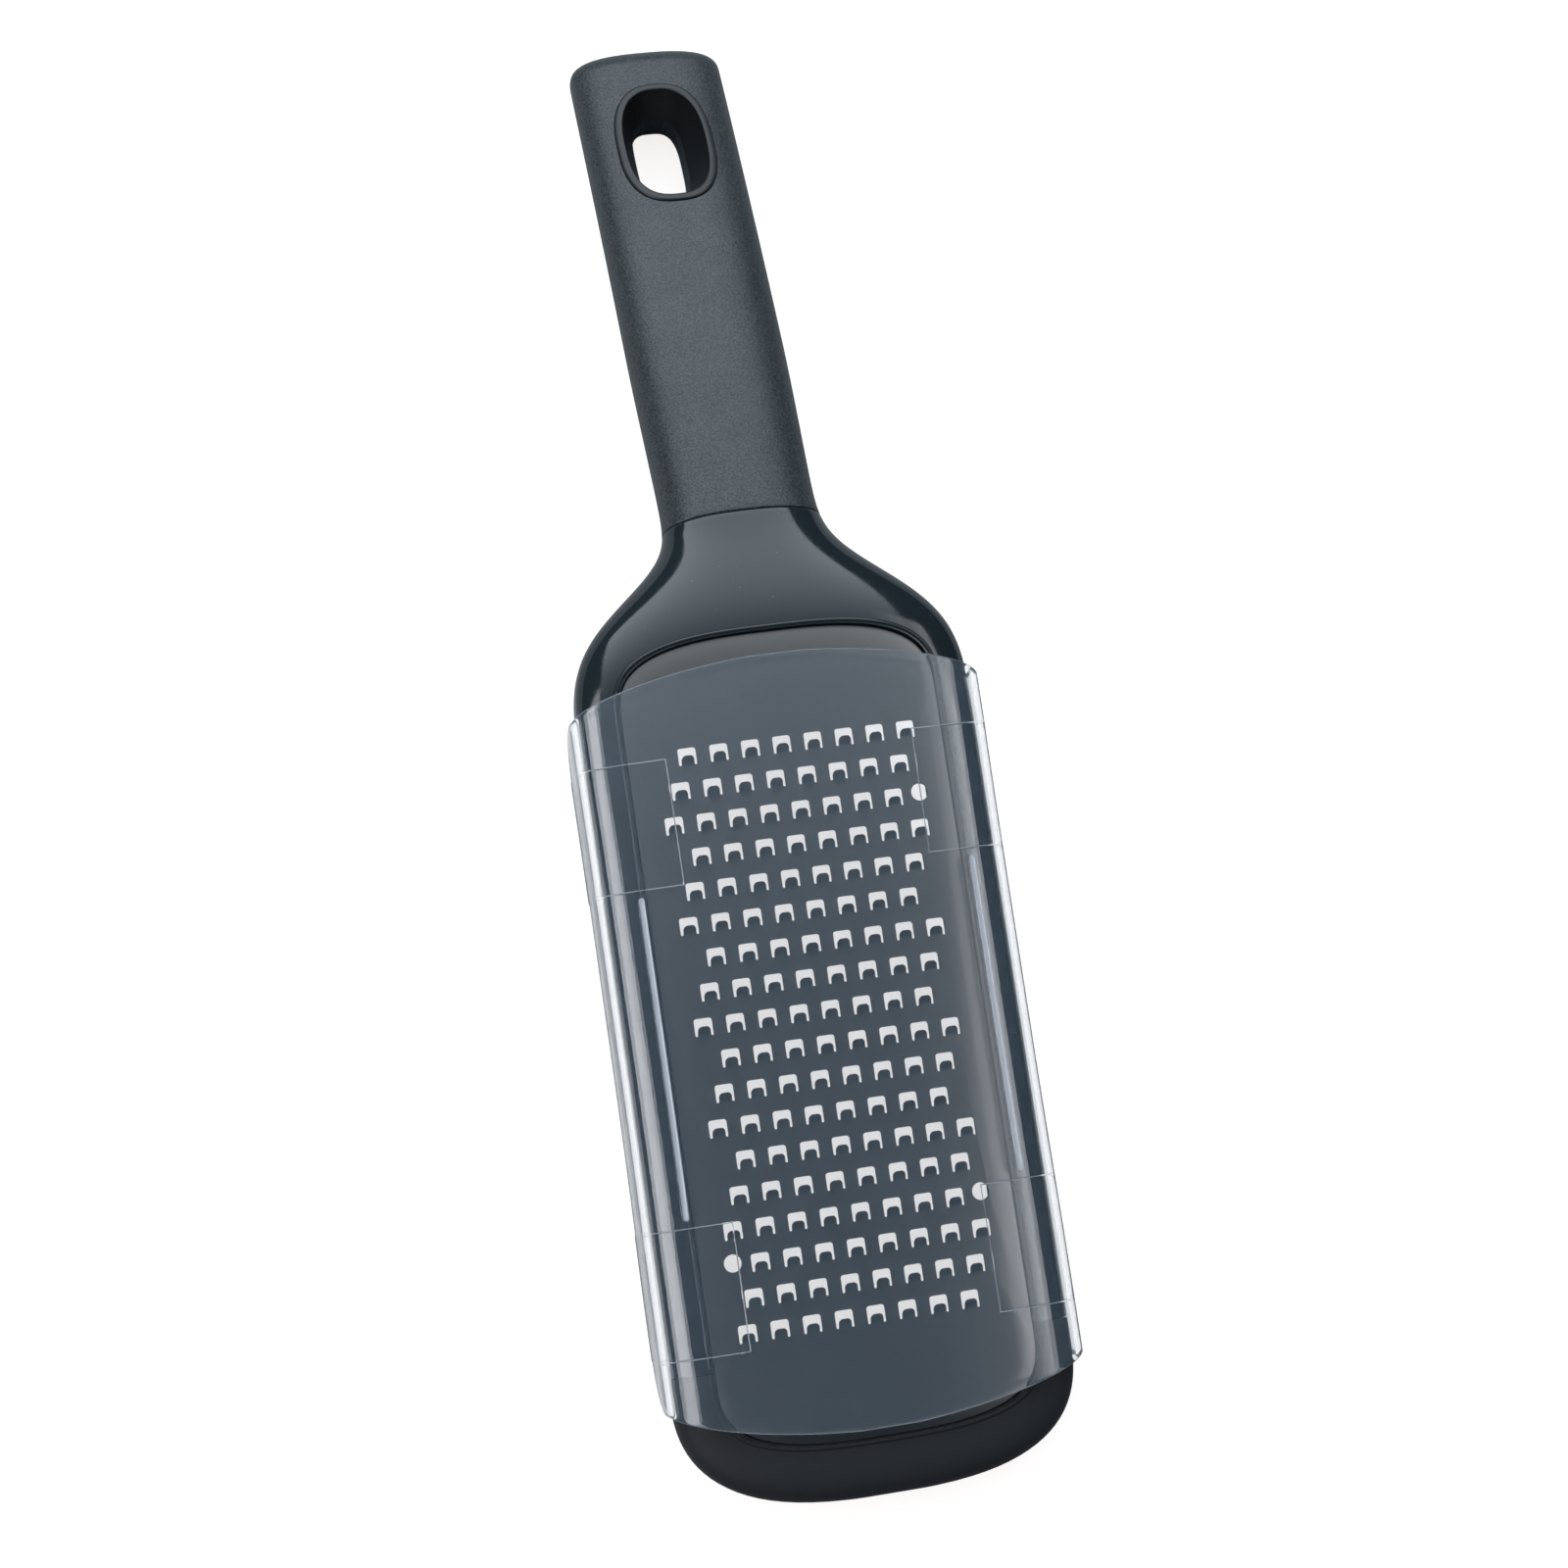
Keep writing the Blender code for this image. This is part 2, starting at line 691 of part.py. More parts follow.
def hole_cutter_mesh():
    """Room for the liner, then the grip's own throat behind it."""
    grow = LINER_WALL + SEAT_GAP
    mouth_width = LIP_HALF_WIDTH - LIP_BAND
    mouth_length = LIP_HALF_LENGTH - LIP_BAND
    throat = (LINER_THROAT_HALF_WIDTH + SEAT_GAP, LINER_THROAT_HALF_LENGTH + SEAT_GAP)
    way_out = (throat[0] - THROAT_TAPER, throat[1] - THROAT_TAPER)
    floor = THROAT_LEVEL - SEAT_GAP
    rings = (
        hole_ring(mouth_width + LINER_WALL, mouth_length + LINER_WALL, HOLE_TOP + OVERSHOOT),
        hole_ring(mouth_width + LINER_WALL, mouth_length + LINER_WALL, 0.0, 0.0, True),
        hole_ring(
            LINER_THROAT_HALF_WIDTH + grow, LINER_THROAT_HALF_LENGTH + grow, floor, THROAT_SHIFT
        ),
        hole_ring(*throat, floor, THROAT_SHIFT),
        hole_ring(*way_out, -HOLE_TOP, EXIT_SHIFT),
        hole_ring(*way_out, -HOLE_TOP - OVERSHOOT, EXIT_SHIFT),
    )
    return loft("hanging_hole", rings)


hole_liner = add_piece("hole_liner", liner_mesh(), soft)
combine(grip, add_cutter("hanging_hole", hole_cutter_mesh()))


# Cover: a channel drawn along the rails, trimmed to plan, with hooks and runners


def cover_side(half_width, headroom):
    """Right half of the channel's arch, from the side wall up to the middle."""
    turn = np.linspace(0.0, math.pi / 2, 11)
    x = half_width * np.cos(turn) ** (2.0 / HEAD_TOP_POWER)
    rise = HEAD_HALF_DEPTH + FRAME_BELOW_CROWN + headroom
    z = HEAD_MIDDLE + rise * np.sin(turn) ** (2.0 / HEAD_TOP_POWER)
    return np.column_stack((x, z))


def cover_profile():
    """Closed channel section with an in-turned hook at each lower edge."""
    outer = cover_side(COVER_INNER_HALF_WIDTH + COVER_WALL, COVER_HEADROOM + COVER_WALL)
    inner = cover_side(COVER_INNER_HALF_WIDTH, COVER_HEADROOM)
    inner_x, outer_x = inner[0, 0], outer[0, 0]
    base = HOOK_TOP - HOOK_THICKNESS
    half = [(inner_x, HOOK_TOP), (inner_x - HOOK_REACH, HOOK_TOP)]
    half += [(inner_x - HOOK_REACH, base), (outer_x, base)]
    right = np.array(half + [tuple(point) for point in outer])
    mirror = (-1.0, 1.0)
    left = right[::-1][1:] * mirror
    under = np.vstack((inner * mirror, inner[::-1][1:]))
    return np.vstack((right, left, under))


def hook_relief(name, neck_side, foot_side):
    """Removes the hooks, up to the wall's plain edge, over a stretch."""
    half = COVER_INNER_HALF_WIDTH + COVER_WALL + OVERSHOOT
    low = HOOK_TOP - HOOK_THICKNESS - OVERSHOOT
    return add_cutter(name, box(name, (-half, foot_side, low), (half, neck_side, HOOK_TOP)))


def runner_mesh(side):
    """Round-ended rib hanging from the cover's roof to just over a rail."""
    radius = RUNNER_WIDTH / 2
    reach = COVER_HALF_LENGTH - RUNNER_INSET - radius
    turn = np.linspace(0.0, math.pi, 7)
    cap = np.column_stack((radius * np.cos(turn), reach + radius * np.sin(turn)))
    outline = np.vstack((cap, -cap)) + (side * RUNNER_X, COVER_MIDDLE)
    rail_top = section_height(
        RUNNER_X - radius, HEAD_HALF_WIDTH, HEAD_HALF_DEPTH, HEAD_TOP_POWER
    )
    roof = section_height(
        RUNNER_X,
        COVER_INNER_HALF_WIDTH,
        HEAD_HALF_DEPTH + FRAME_BELOW_CROWN + COVER_HEADROOM,
        HEAD_TOP_POWER,
    )
    low = HEAD_MIDDLE + rail_top + RUNNER_GAP
    high = HEAD_MIDDLE + roof + COVER_WALL / 2
    return extrusion("runner", outline, low, high)


def cover_ring(level, inset):
    """Plan outline of the cover at a level, its ends drawn in by an inset."""
    outline = plan_outline(
        COVER_INNER_HALF_WIDTH + COVER_WALL + SEAT_GAP,
        COVER_NECK_END - inset,
        COVER_FOOT_END - inset,
        COVER_END_ROUND,
        COVER_END_POWER,
    )
    return np.column_stack((outline, np.full(len(outline), level)))


def cover_limit_mesh():
    """Room that the cover fills: its plan, with the walls' low corners rounded off."""
    rings = [cover_ring(OVERSHOOT, 0.0)]
    for turn in np.radians((0.0, 25.0, 45.0, 62.0, 76.0, 90.0)):
        level = HOOK_TOP + COVER_CORNER_HEIGHT * (1.0 - math.sin(turn))
        rings.append(cover_ring(level, COVER_CORNER_LENGTH * (1.0 - math.cos(turn))))
    rings.append(cover_ring(HOOK_TOP - OVERSHOOT, COVER_CORNER_LENGTH))
    return loft("cover_limit", rings)


channel_reach = COVER_FOOT_END + OVERSHOOT
cover = add_piece(
    "cover", extrusion("cover", cover_profile(), -channel_reach, channel_reach, "y"), clear
)
combine(cover, add_cutter("cover_limit", cover_limit_mesh()), "INTERSECT")
hook_far = COVER_HALF_LENGTH - HOOK_INSET
hook_near = hook_far - HOOK_LENGTH
combine(cover, hook_relief("relief_middle", COVER_MIDDLE + hook_near, COVER_MIDDLE - hook_near))
combine(cover, hook_relief("relief_neck", channel_reach, COVER_MIDDLE + hook_far))
combine(cover, hook_relief("relief_foot", COVER_MIDDLE - hook_far, -channel_reach))
for side in (1, -1):
    combine(cover, add_cutter("runner", runner_mesh(side)), "UNION")


# Lying on a table: tip until the foot and the grip's end touch it together


def solid_points(piece):
    """Corners of a piece's finished solid, in millimetres on the blade."""
    finished = piece.evaluated_get(bpy.context.evaluated_depsgraph_get())
    mesh = finished.to_mesh()
    points = np.array([tuple(corner.co) for corner in mesh.vertices]) / MM
    finished.to_mesh_clear()
    return points


def tipped(points, tilt):
    """Y and Z of points after the handle end is lifted by a tilt."""
    y = points[:, 1] * math.cos(tilt) - points[:, 2] * math.sin(tilt)
    z = points[:, 1] * math.sin(tilt) + points[:, 2] * math.cos(tilt)
    return y, z


def table_tilt(foot_points, grip_points):
    """Tilt at which both ends are equally low, by halving."""
    low, high = 0.0, math.radians(40)
    for _ in range(40):
        tilt = (low + high) / 2
        if tipped(grip_points, tilt)[1].min() < tipped(foot_points, tilt)[1].min():
            low = tilt
        else:
            high = tilt
    return tilt


bpy.context.view_layer.update()
foot_points = solid_points(foot)
grip_points = solid_points(grip)
tilt = table_tilt(foot_points, grip_points)
floor = tipped(foot_points, tilt)[1].min() + LAND_DEPTH
ends = np.concatenate((tipped(foot_points, tilt)[0], tipped(grip_points, tilt)[0]))
resting.rotation_euler.x = tilt
resting.location = (0.0, -(ends.min() + ends.max()) / 2 * MM, -floor * MM)

table_reach = FOOT_END + NECK_START + GRIP_END
table = bpy.data.objects.new(
    "table",
    box("table", (-table_reach, -table_reach, -OVERSHOOT), (table_reach, table_reach, 0.0)),
)
table.hide_render = True
table.display_type = "WIRE"
cutters.objects.link(table)
combine(foot, table)
combine(grip, table)
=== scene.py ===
"""Looks of a hand grater with a clear slide-on cover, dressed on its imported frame.

Shapes are worked out on the blade in millimetres, as the solids are: X across,
Y toward the handle, Z out of the cutting face, zero mid-pattern. The last step
of each lays it on the table in metres.
"""

import json
import math

import bmesh
import bpy
import numpy as np
from mathutils import Matrix, Vector, geometry


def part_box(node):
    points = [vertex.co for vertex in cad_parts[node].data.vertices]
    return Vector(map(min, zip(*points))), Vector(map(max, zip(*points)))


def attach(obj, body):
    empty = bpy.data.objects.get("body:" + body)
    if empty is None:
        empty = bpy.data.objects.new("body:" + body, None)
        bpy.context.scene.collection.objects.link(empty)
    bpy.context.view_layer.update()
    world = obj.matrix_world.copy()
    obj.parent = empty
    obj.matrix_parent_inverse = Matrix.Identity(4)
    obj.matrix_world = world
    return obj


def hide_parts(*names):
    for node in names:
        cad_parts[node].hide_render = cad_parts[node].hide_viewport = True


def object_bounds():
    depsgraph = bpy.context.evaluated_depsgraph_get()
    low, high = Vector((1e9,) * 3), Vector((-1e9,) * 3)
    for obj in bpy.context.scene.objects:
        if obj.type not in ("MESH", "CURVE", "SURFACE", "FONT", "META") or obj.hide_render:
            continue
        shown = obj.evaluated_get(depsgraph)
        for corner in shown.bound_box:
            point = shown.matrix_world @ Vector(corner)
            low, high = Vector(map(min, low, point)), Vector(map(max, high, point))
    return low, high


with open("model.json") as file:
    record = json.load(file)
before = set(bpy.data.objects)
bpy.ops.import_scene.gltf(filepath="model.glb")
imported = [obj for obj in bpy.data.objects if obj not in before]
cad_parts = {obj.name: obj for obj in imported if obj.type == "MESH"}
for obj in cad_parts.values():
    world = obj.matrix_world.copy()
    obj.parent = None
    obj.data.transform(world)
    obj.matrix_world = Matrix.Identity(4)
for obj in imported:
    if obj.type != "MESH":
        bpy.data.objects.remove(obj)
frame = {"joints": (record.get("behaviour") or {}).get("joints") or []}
cad_low, cad_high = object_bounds()


# Blade. A 0.5 mm stainless plate, rolled slightly convex, with 144 teeth
# pierced and pressed up in one stroke; its rim is drawn down into the frame.

MM = 0.001
COLUMNS, ROWS, ROWS_PER_STAGGER = 8, 18, 3
COLUMN_PITCH, ROW_PITCH, ROW_SHIFT = 6.0, 6.3, 2.1
SLOT_WIDTH, SLOT_HEIGHT, SLOT_CORNER, SLOT_SETBACK = 3.45, 3.3, 0.55, 0.45
TONGUE_WIDTH, TONGUE_LENGTH, TONGUE_CORNER = 2.35, 1.77, 0.65
TONGUE_ARCH, TONGUE_RISE, TONGUE_CURL = 0.2, 0.9, 1.6
LEG_ROUND = 0.27
PLATE_THICKNESS, CROWN_RADIUS = 0.5, 320.0
PLATE_HALF_WIDTH, PLATE_NECK_END, PLATE_FOOT_END = 30.0, 74.75, 75.95
PLATE_END_ROUND, PLATE_END_POWER = 14.0, 3.0
PLATE_RIM, PLATE_RIM_DROP, FOOT_RIM_DROP, FOOT_RIM_FADE = 3.0, 0.08, 0.25, 12.0
GAUGE_HOLE_RADIUS, GAUGE_HOLE_X = 1.65, 24.0
GAUGE_HOLE_ROWS = ((1, 2), (1, 14), (-1, 15))
PATTERN_END = (ROWS - 1) * ROW_PITCH / 2
SUPPORT_SPACING, SLOT_CLEARANCE = 1.5, 0.25
RIM_SUPPORTS = (0.3, 0.8, 1.4, 2.1, 2.9, 3.8)
SUPPORT_MARGIN, TONGUE_GRID_ACROSS, TONGUE_GRID_ALONG = 1, (-0.35, 0.35, 4), (0.1, 0.8, 6)
PLAN_STEPS, GAUGE_HOLE_POINTS = 61, 24
MERGE_DISTANCE, CUT_TOLERANCE = 1e-7, 1e-6
SHARP_ANGLE = math.radians(35)

slide_axis = frame["joints"][0]["axis"]
TILT = math.atan2(-slide_axis[2], -slide_axis[1])
blade_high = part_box("blade")[1] / MM
LIFT = blade_high.z - PLATE_NECK_END * math.sin(TILT)
SLIDE = blade_high.y - PLATE_NECK_END * math.cos(TILT) - PLATE_THICKNESS * math.sin(TILT)


def lay(points):
    """Lie points on the table: turned about X by the tilt, shifted, and taken to metres."""
    x, y, z = np.moveaxis(np.asarray(points, float), -1, 0)
    c, s = math.cos(TILT), math.sin(TILT)
    return np.stack((x, y * c - z * s + SLIDE, y * s + z * c + LIFT), axis=-1) * MM


def shade(mesh):
    """Smooth shading, but for edges over the sharp angle."""
    mesh.shade_smooth()
    mesh.set_sharp_from_angle(angle=SHARP_ANGLE)


def new_piece(name, points, faces, look=None, body="grater", frost_and_highlight=None):
    """Closed mesh with its doubles merged and its faces pointing out."""
    mesh = bpy.data.meshes.new(name)
    mesh.from_pydata(lay(points).reshape(-1, 3).tolist(), [], faces)
    if frost_and_highlight is not None:
        mesh.attributes.new("frost_and_highlight", "FLOAT", "POINT").data.foreach_set("value", frost_and_highlight.ravel())
    bm = bmesh.new()
    bm.from_mesh(mesh)
    bmesh.ops.remove_doubles(bm, verts=bm.verts, dist=MERGE_DISTANCE)
    bmesh.ops.dissolve_degenerate(bm, edges=bm.edges, dist=MERGE_DISTANCE)
    bmesh.ops.recalc_face_normals(bm, faces=bm.faces)
    bm.to_mesh(mesh)
    bm.free()
    shade(mesh)
    piece = bpy.data.objects.new(name, mesh)
    bpy.context.scene.collection.objects.link(piece)
    if look:
        mesh.materials.append(look)
        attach(piece, body)
    return piece


def grid_faces(rows, columns, first=0, ring=False):
    """Quads between neighbours of a grid; a ring also joins the last column to the first."""
    index = first + np.arange(rows * columns).reshape(rows, columns)
    if ring:
        index = np.column_stack((index, index[:, 0]))
    corners = (index[:-1, :-1], index[:-1, 1:], index[1:, 1:], index[1:, :-1])
    return np.stack(corners, axis=-1).reshape(-1, 4).tolist()


def linear(code):
    """An sRGB hex colour as linear red, green, blue and alpha."""
    channels = np.array([int(code[i : i + 2], 16) for i in (1, 3, 5)]) / 255
    low, high = channels / 12.92, ((channels + 0.055) / 1.055) ** 2.4
    return (*np.where(channels <= 0.04045, low, high), 1.0)


def per_metre(*sizes):
    """Noise scale on metres for features of these sizes in millimetres, one or one an axis."""
    scales = tuple(1 / (size * MM) for size in sizes)
    return scales if len(scales) > 1 else scales[0]


def new_look(name, **inputs):
    """A material whose Principled shader has these values set on its own sockets."""
    look = bpy.data.materials.new(name)
    look.use_nodes = True
    shader = look.node_tree.nodes["Principled BSDF"]
    for socket, value in inputs.items():
        shader.inputs[socket.replace("_", " ")].default_value = value
    return look, shader


def node(look, kind, inputs, **settings):
    """Add a node; an input is a value, or another node's socket to link from."""
    made = look.node_tree.nodes.new("ShaderNode" + kind)
    for name, value in settings.items():
        setattr(made, name, value)
    for socket, value in inputs.items():
        if isinstance(value, bpy.types.NodeSocket):
            look.node_tree.links.new(value, made.inputs[socket])
        else:
            made.inputs[socket].default_value = value
    return made


def connect(look, source, target):
    """Link one socket to another."""
    look.node_tree.links.new(source, target)


def noise(look, place, size, detail):
    """Noise on the piece's own axes, with features of this size in millimetres."""
    inputs = {"Vector": place.outputs["Object"], "Scale": per_metre(size), "Detail": detail}
    return node(look, "TexNoise", inputs)


def ramp(look, source, old, new):
    """Map a noise from the old pair of limits to the new one."""
    limits = dict(zip(("From Min", "From Max", "To Min", "To Max"), (*old, *new)))
    return node(look, "MapRange", {"Value": source.outputs["Fac"], **limits})


def bump(look, source, strength, depth):
    """Relief from a noise, its depth in millimetres."""
    height = source.outputs["Fac"]
    return node(look, "Bump", {"Height": height, "Strength": strength, "Distance": depth * MM})


def two_tone(look, share, first, second):
    """A colour between two."""
    inputs = {"Factor": share, "A": linear(first), "B": linear(second)}
    return node(look, "Mix", inputs, data_type="RGBA")


def plan_outline(inset, steps, end_inset=None):
    """Plate outline drawn in by an inset: straight sides, superelliptic ends, all round."""
    end_inset = inset if end_inset is None else end_inset
    turn = np.linspace(0.0, math.pi, steps)
    c, s = np.cos(turn), np.sin(turn)
    x = (PLATE_HALF_WIDTH - inset) * np.sign(c) * np.abs(c) ** (2 / PLATE_END_POWER)
    bulge = PLATE_END_ROUND * (np.abs(s) ** (2 / PLATE_END_POWER) - 1)
    neck = np.column_stack((x, PLATE_NECK_END - end_inset + bulge))
    foot = np.column_stack((-x, -PLATE_FOOT_END + end_inset - bulge))
    return np.vstack((neck, foot))


def round_corners(corners, radii, steps=5):
    """Replace each corner of a polygon by an arc tangent to both its sides."""
    corners, radii = np.asarray(corners, float), np.asarray(radii, float)[:, None]
    back = np.roll(corners, 1, axis=0) - corners
    ahead = np.roll(corners, -1, axis=0) - corners
    back /= np.linalg.norm(back, axis=1, keepdims=True)
    ahead /= np.linalg.norm(ahead, axis=1, keepdims=True)
    half = np.arccos((back * ahead).sum(axis=1, keepdims=True)) / 2
    middle = back + ahead
    middle /= np.linalg.norm(middle, axis=1, keepdims=True)
    centre = corners + middle * radii / np.sin(half)
    start = (corners + back * radii / np.tan(half) - centre)[:, None]
    end = (corners + ahead * radii / np.tan(half) - centre)[:, None]
    sweep = math.pi - 2 * half
    share = np.linspace(0.0, 1.0, steps)
    from_start = (np.sin((1 - share) * sweep) / np.sin(sweep))[..., None]
    from_end = (np.sin(share * sweep) / np.sin(sweep))[..., None]
    return (centre[:, None] + from_start * start + from_end * end).reshape(-1, 2)


def tooth_centres():
    """Middles of the slots: rows of eight, each row of three one step further across."""
    row, place = np.meshgrid(np.arange(ROWS), np.arange(COLUMNS), indexing="ij")
    x = (place - (COLUMNS - 1) / 2) * COLUMN_PITCH + ROW_SHIFT * (1 - row % ROWS_PER_STAGGER)
    return np.column_stack((x.ravel(), PATTERN_END - SLOT_SETBACK - row.ravel() * ROW_PITCH))


def slot_outline():
    """Arched slot round a tongue: a rounded square less a tongue with a bowed tip."""
    side, top, tongue = SLOT_WIDTH / 2, SLOT_HEIGHT / 2, TONGUE_WIDTH / 2
    tip = TONGUE_LENGTH - TONGUE_ARCH - top
    corners = ((-side, -top), (-side, top), (side, top), (side, -top))
    corners += ((tongue, -top), (tongue, tip), (-tongue, tip), (-tongue, -top))
    radii = (LEG_ROUND, SLOT_CORNER, SLOT_CORNER, LEG_ROUND)
    radii += (LEG_ROUND, TONGUE_CORNER, TONGUE_CORNER, LEG_ROUND)
    outline = round_corners(corners, radii)
    at_tip = (np.abs(outline[:, 1] - tip) < TONGUE_CORNER) & (np.abs(outline[:, 0]) <= tongue)
    bow = TONGUE_ARCH * (1 - (outline[:, 0] / tongue) ** 2)
    outline[:, 1] += np.where(at_tip, bow, 0.0)
    return outline


def gauge_hole_outlines():
    """Round holes beside the outer teeth, one row of points each."""
    turn = np.linspace(0.0, 2 * math.pi, GAUGE_HOLE_POINTS, endpoint=False)
    ring = GAUGE_HOLE_RADIUS * np.column_stack((np.cos(turn), np.sin(turn)))
    side, row = np.array(GAUGE_HOLE_ROWS, float).T
    middle = np.column_stack((side * GAUGE_HOLE_X, PATTERN_END - row * ROW_PITCH))
    return middle[:, None] + ring


def is_inside(points, outline):
    """Which points lie in a closed outline: an odd number of its sides lies to their right."""
    px, py = points[:, None, 0], points[:, None, 1]
    start, end = outline[None], np.roll(outline, -1, axis=0)[None]
    crosses = (start[..., 1] > py) != (end[..., 1] > py)
    rise = end[..., 1] - start[..., 1]
    share = (py - start[..., 1]) / np.where(rise == 0, 1, rise)
    reach = start[..., 0] + share * (end[..., 0] - start[..., 0])
    return (crosses & (px < reach)).sum(axis=1) % 2 == 1


def from_outline(points, outline):
    """Distance from each point to the nearest side of a closed outline."""
    side = np.roll(outline, -1, axis=0) - outline
    share = ((points[:, None] - outline) * side).sum(axis=2) / (side**2).sum(axis=1)
    nearest = outline + np.clip(share, 0.0, 1.0)[..., None] * side
    return np.linalg.norm(points[:, None] - nearest, axis=2).min(axis=1)


def plate_height(points, centres, outline):
    """Crown across, rim drawn down as a parabola, more at the foot end, and each tongue bent up."""
    x, y = points.T
    crown = -(x**2) / (2 * CROWN_RADIUS)
    rim = np.maximum(1 - from_outline(points, outline) / PLATE_RIM, 0.0)
    row = np.clip(np.round((PATTERN_END - SLOT_SETBACK - y) / ROW_PITCH), 0, ROWS - 1)
    shift = ROW_SHIFT * (1 - row % ROWS_PER_STAGGER)
    place = np.clip(np.round((x - shift) / COLUMN_PITCH + (COLUMNS - 1) / 2), 0, COLUMNS - 1)
    own = centres[(row * COLUMNS + place).astype(int)]
    across, along = x - own[:, 0], y - own[:, 1] + SLOT_HEIGHT / 2
    on_tongue = (np.abs(across) < (SLOT_WIDTH + TONGUE_WIDTH) / 4) & (along > 0)
    on_tongue &= along < TONGUE_LENGTH + MERGE_DISTANCE
    bend = TONGUE_RISE * (np.clip(along, 0, TONGUE_LENGTH) / TONGUE_LENGTH) ** TONGUE_CURL
    fade = (-PATTERN_END - FOOT_RIM_FADE, -PATTERN_END)
    drop = np.interp(y, fade, (FOOT_RIM_DROP, PLATE_RIM_DROP))
    return crown - drop * rim**2 + np.where(on_tongue, bend, 0.0)


def support_points(centres, holes, outline):
    """Plain points off the slots, on the tongues and along the rim, for an even crown."""
    across = np.arange(-PLATE_HALF_WIDTH + SUPPORT_MARGIN, PLATE_HALF_WIDTH, SUPPORT_SPACING)
    along = np.arange(-PLATE_FOOT_END + SUPPORT_MARGIN, PLATE_NECK_END, SUPPORT_SPACING)
    plain = np.stack(np.meshgrid(across, along), axis=-1).reshape(-1, 2)
    reach = (SLOT_WIDTH / 2 + SLOT_CLEARANCE, SLOT_HEIGHT / 2 + SLOT_CLEARANCE)
    off_slots = ((np.abs(plain[:, None] - centres) - reach).max(axis=2) > 0).all(axis=1)
    u, v = np.meshgrid(np.linspace(*TONGUE_GRID_ACROSS), np.linspace(*TONGUE_GRID_ALONG))
    u, v = u.ravel() * TONGUE_WIDTH, v.ravel() * TONGUE_LENGTH - SLOT_HEIGHT / 2
    tongue = np.column_stack((u, v))
    on_tongues = (centres[:, None] + tongue).reshape(-1, 2)
    off_rim = from_outline(plain, outline) > RIM_SUPPORTS[-1] + SLOT_CLEARANCE
    rims = [plan_outline(inset, PLAN_STEPS) for inset in RIM_SUPPORTS]
    points = np.vstack((plain[off_slots & off_rim], on_tongues, *rims))
    off_holes = np.linalg.norm(points[:, None] - holes.mean(axis=1), axis=2).min(axis=1)
    points = points[off_holes > GAUGE_HOLE_RADIUS + SLOT_CLEARANCE]
    return points[is_inside(points, outline)]


def plate_mesh():
    """Plate as corners and faces: a cut sheet, its copy a thickness below, and the rims."""
    centres, slot, outline = tooth_centres(), slot_outline(), plan_outline(0.0, PLAN_STEPS)
    holes = gauge_hole_outlines()
    loops = (outline, *(slot + centres[:, None]), *holes)
    sizes = np.array([len(loop) for loop in loops])
    last = np.cumsum(sizes) - 1
    ahead = np.arange(1, last[-1] + 2)
    ahead[last] = last + 1 - sizes
    edges = np.column_stack((np.arange(len(ahead)), ahead))
    points = np.vstack((*loops, support_points(centres, holes, outline)))
    cut = geometry.delaunay_2d_cdt(points.tolist(), edges.tolist(), [], 0, CUT_TOLERANCE)
    flat, faces = np.array(cut[0]), np.array(cut[2])
    middle = flat[faces].mean(axis=1)
    kept = is_inside(middle, outline)
    own = centres[np.abs(middle[:, None] - centres).max(axis=2).argmin(axis=1)]
    kept &= ~is_inside(middle - own, slot)
    for hole in holes:
        kept &= ~is_inside(middle, hole)
    faces = faces[kept]
    top = np.column_stack((flat, plate_height(flat, centres, outline)))
    below = top - (0.0, 0.0, PLATE_THICKNESS)
    sides = np.concatenate((faces[:, (0, 1)], faces[:, (1, 2)], faces[:, (2, 0)]))
    _, first, count = np.unique(
        np.sort(sides, axis=1), axis=0, return_index=True, return_counts=True
    )
    rim = sides[first[count == 1]]
    n = len(top)
    walls = np.column_stack((rim[:, 1], rim[:, 0], rim[:, 0] + n, rim[:, 1] + n))
    used = np.unique(faces)
    number = np.full(2 * n, -1)
    number[np.concatenate((used, used + n))] = np.arange(2 * len(used))
    corners = np.vstack((top[used], below[used]))
    shells = number[np.concatenate((faces, faces[:, ::-1] + n))].tolist()
    return corners, shells + number[walls].tolist()


# Stainless steel, cold rolled and finely brushed lengthways: it blurs what it
# reflects into soft slate tones, and its lines barely show. Real lines are some
# 0.04 mm wide; they are drawn 0.12 mm wide and 5 mm long, so that they show.
steel, steel_shader = new_look(
    "stainless_steel_fine_brushed", Base_Color=linear("#8f8c89"), Metallic=1.0, Roughness=0.3
)
place = node(steel, "TexCoord", {})
lines = node(
    steel,
    "Mapping",
    {"Vector": place.outputs["Object"], "Scale": per_metre(0.12, 5.0, 5.0)},
)
brushing = node(
    steel, "TexNoise", {"Vector": lines.outputs["Vector"], "Scale": 1.0, "Detail": 2.0}
)
blur = ramp(steel, brushing, (0.3, 0.7), (0.29, 0.32))
scratch = bump(steel, brushing, 0.02, 0.01)
connect(steel, blur.outputs["Result"], steel_shader.inputs["Roughness"])
connect(steel, scratch.outputs["Normal"], steel_shader.inputs["Normal"])

blade = new_piece("toothed_blade", *plate_mesh(), steel)
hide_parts("blade")


# Frame. One glossy ABS moulding: rails, the neck that bends down to the grip,
# and inside it the core of the foot and the tang; a lip closes on the blade.

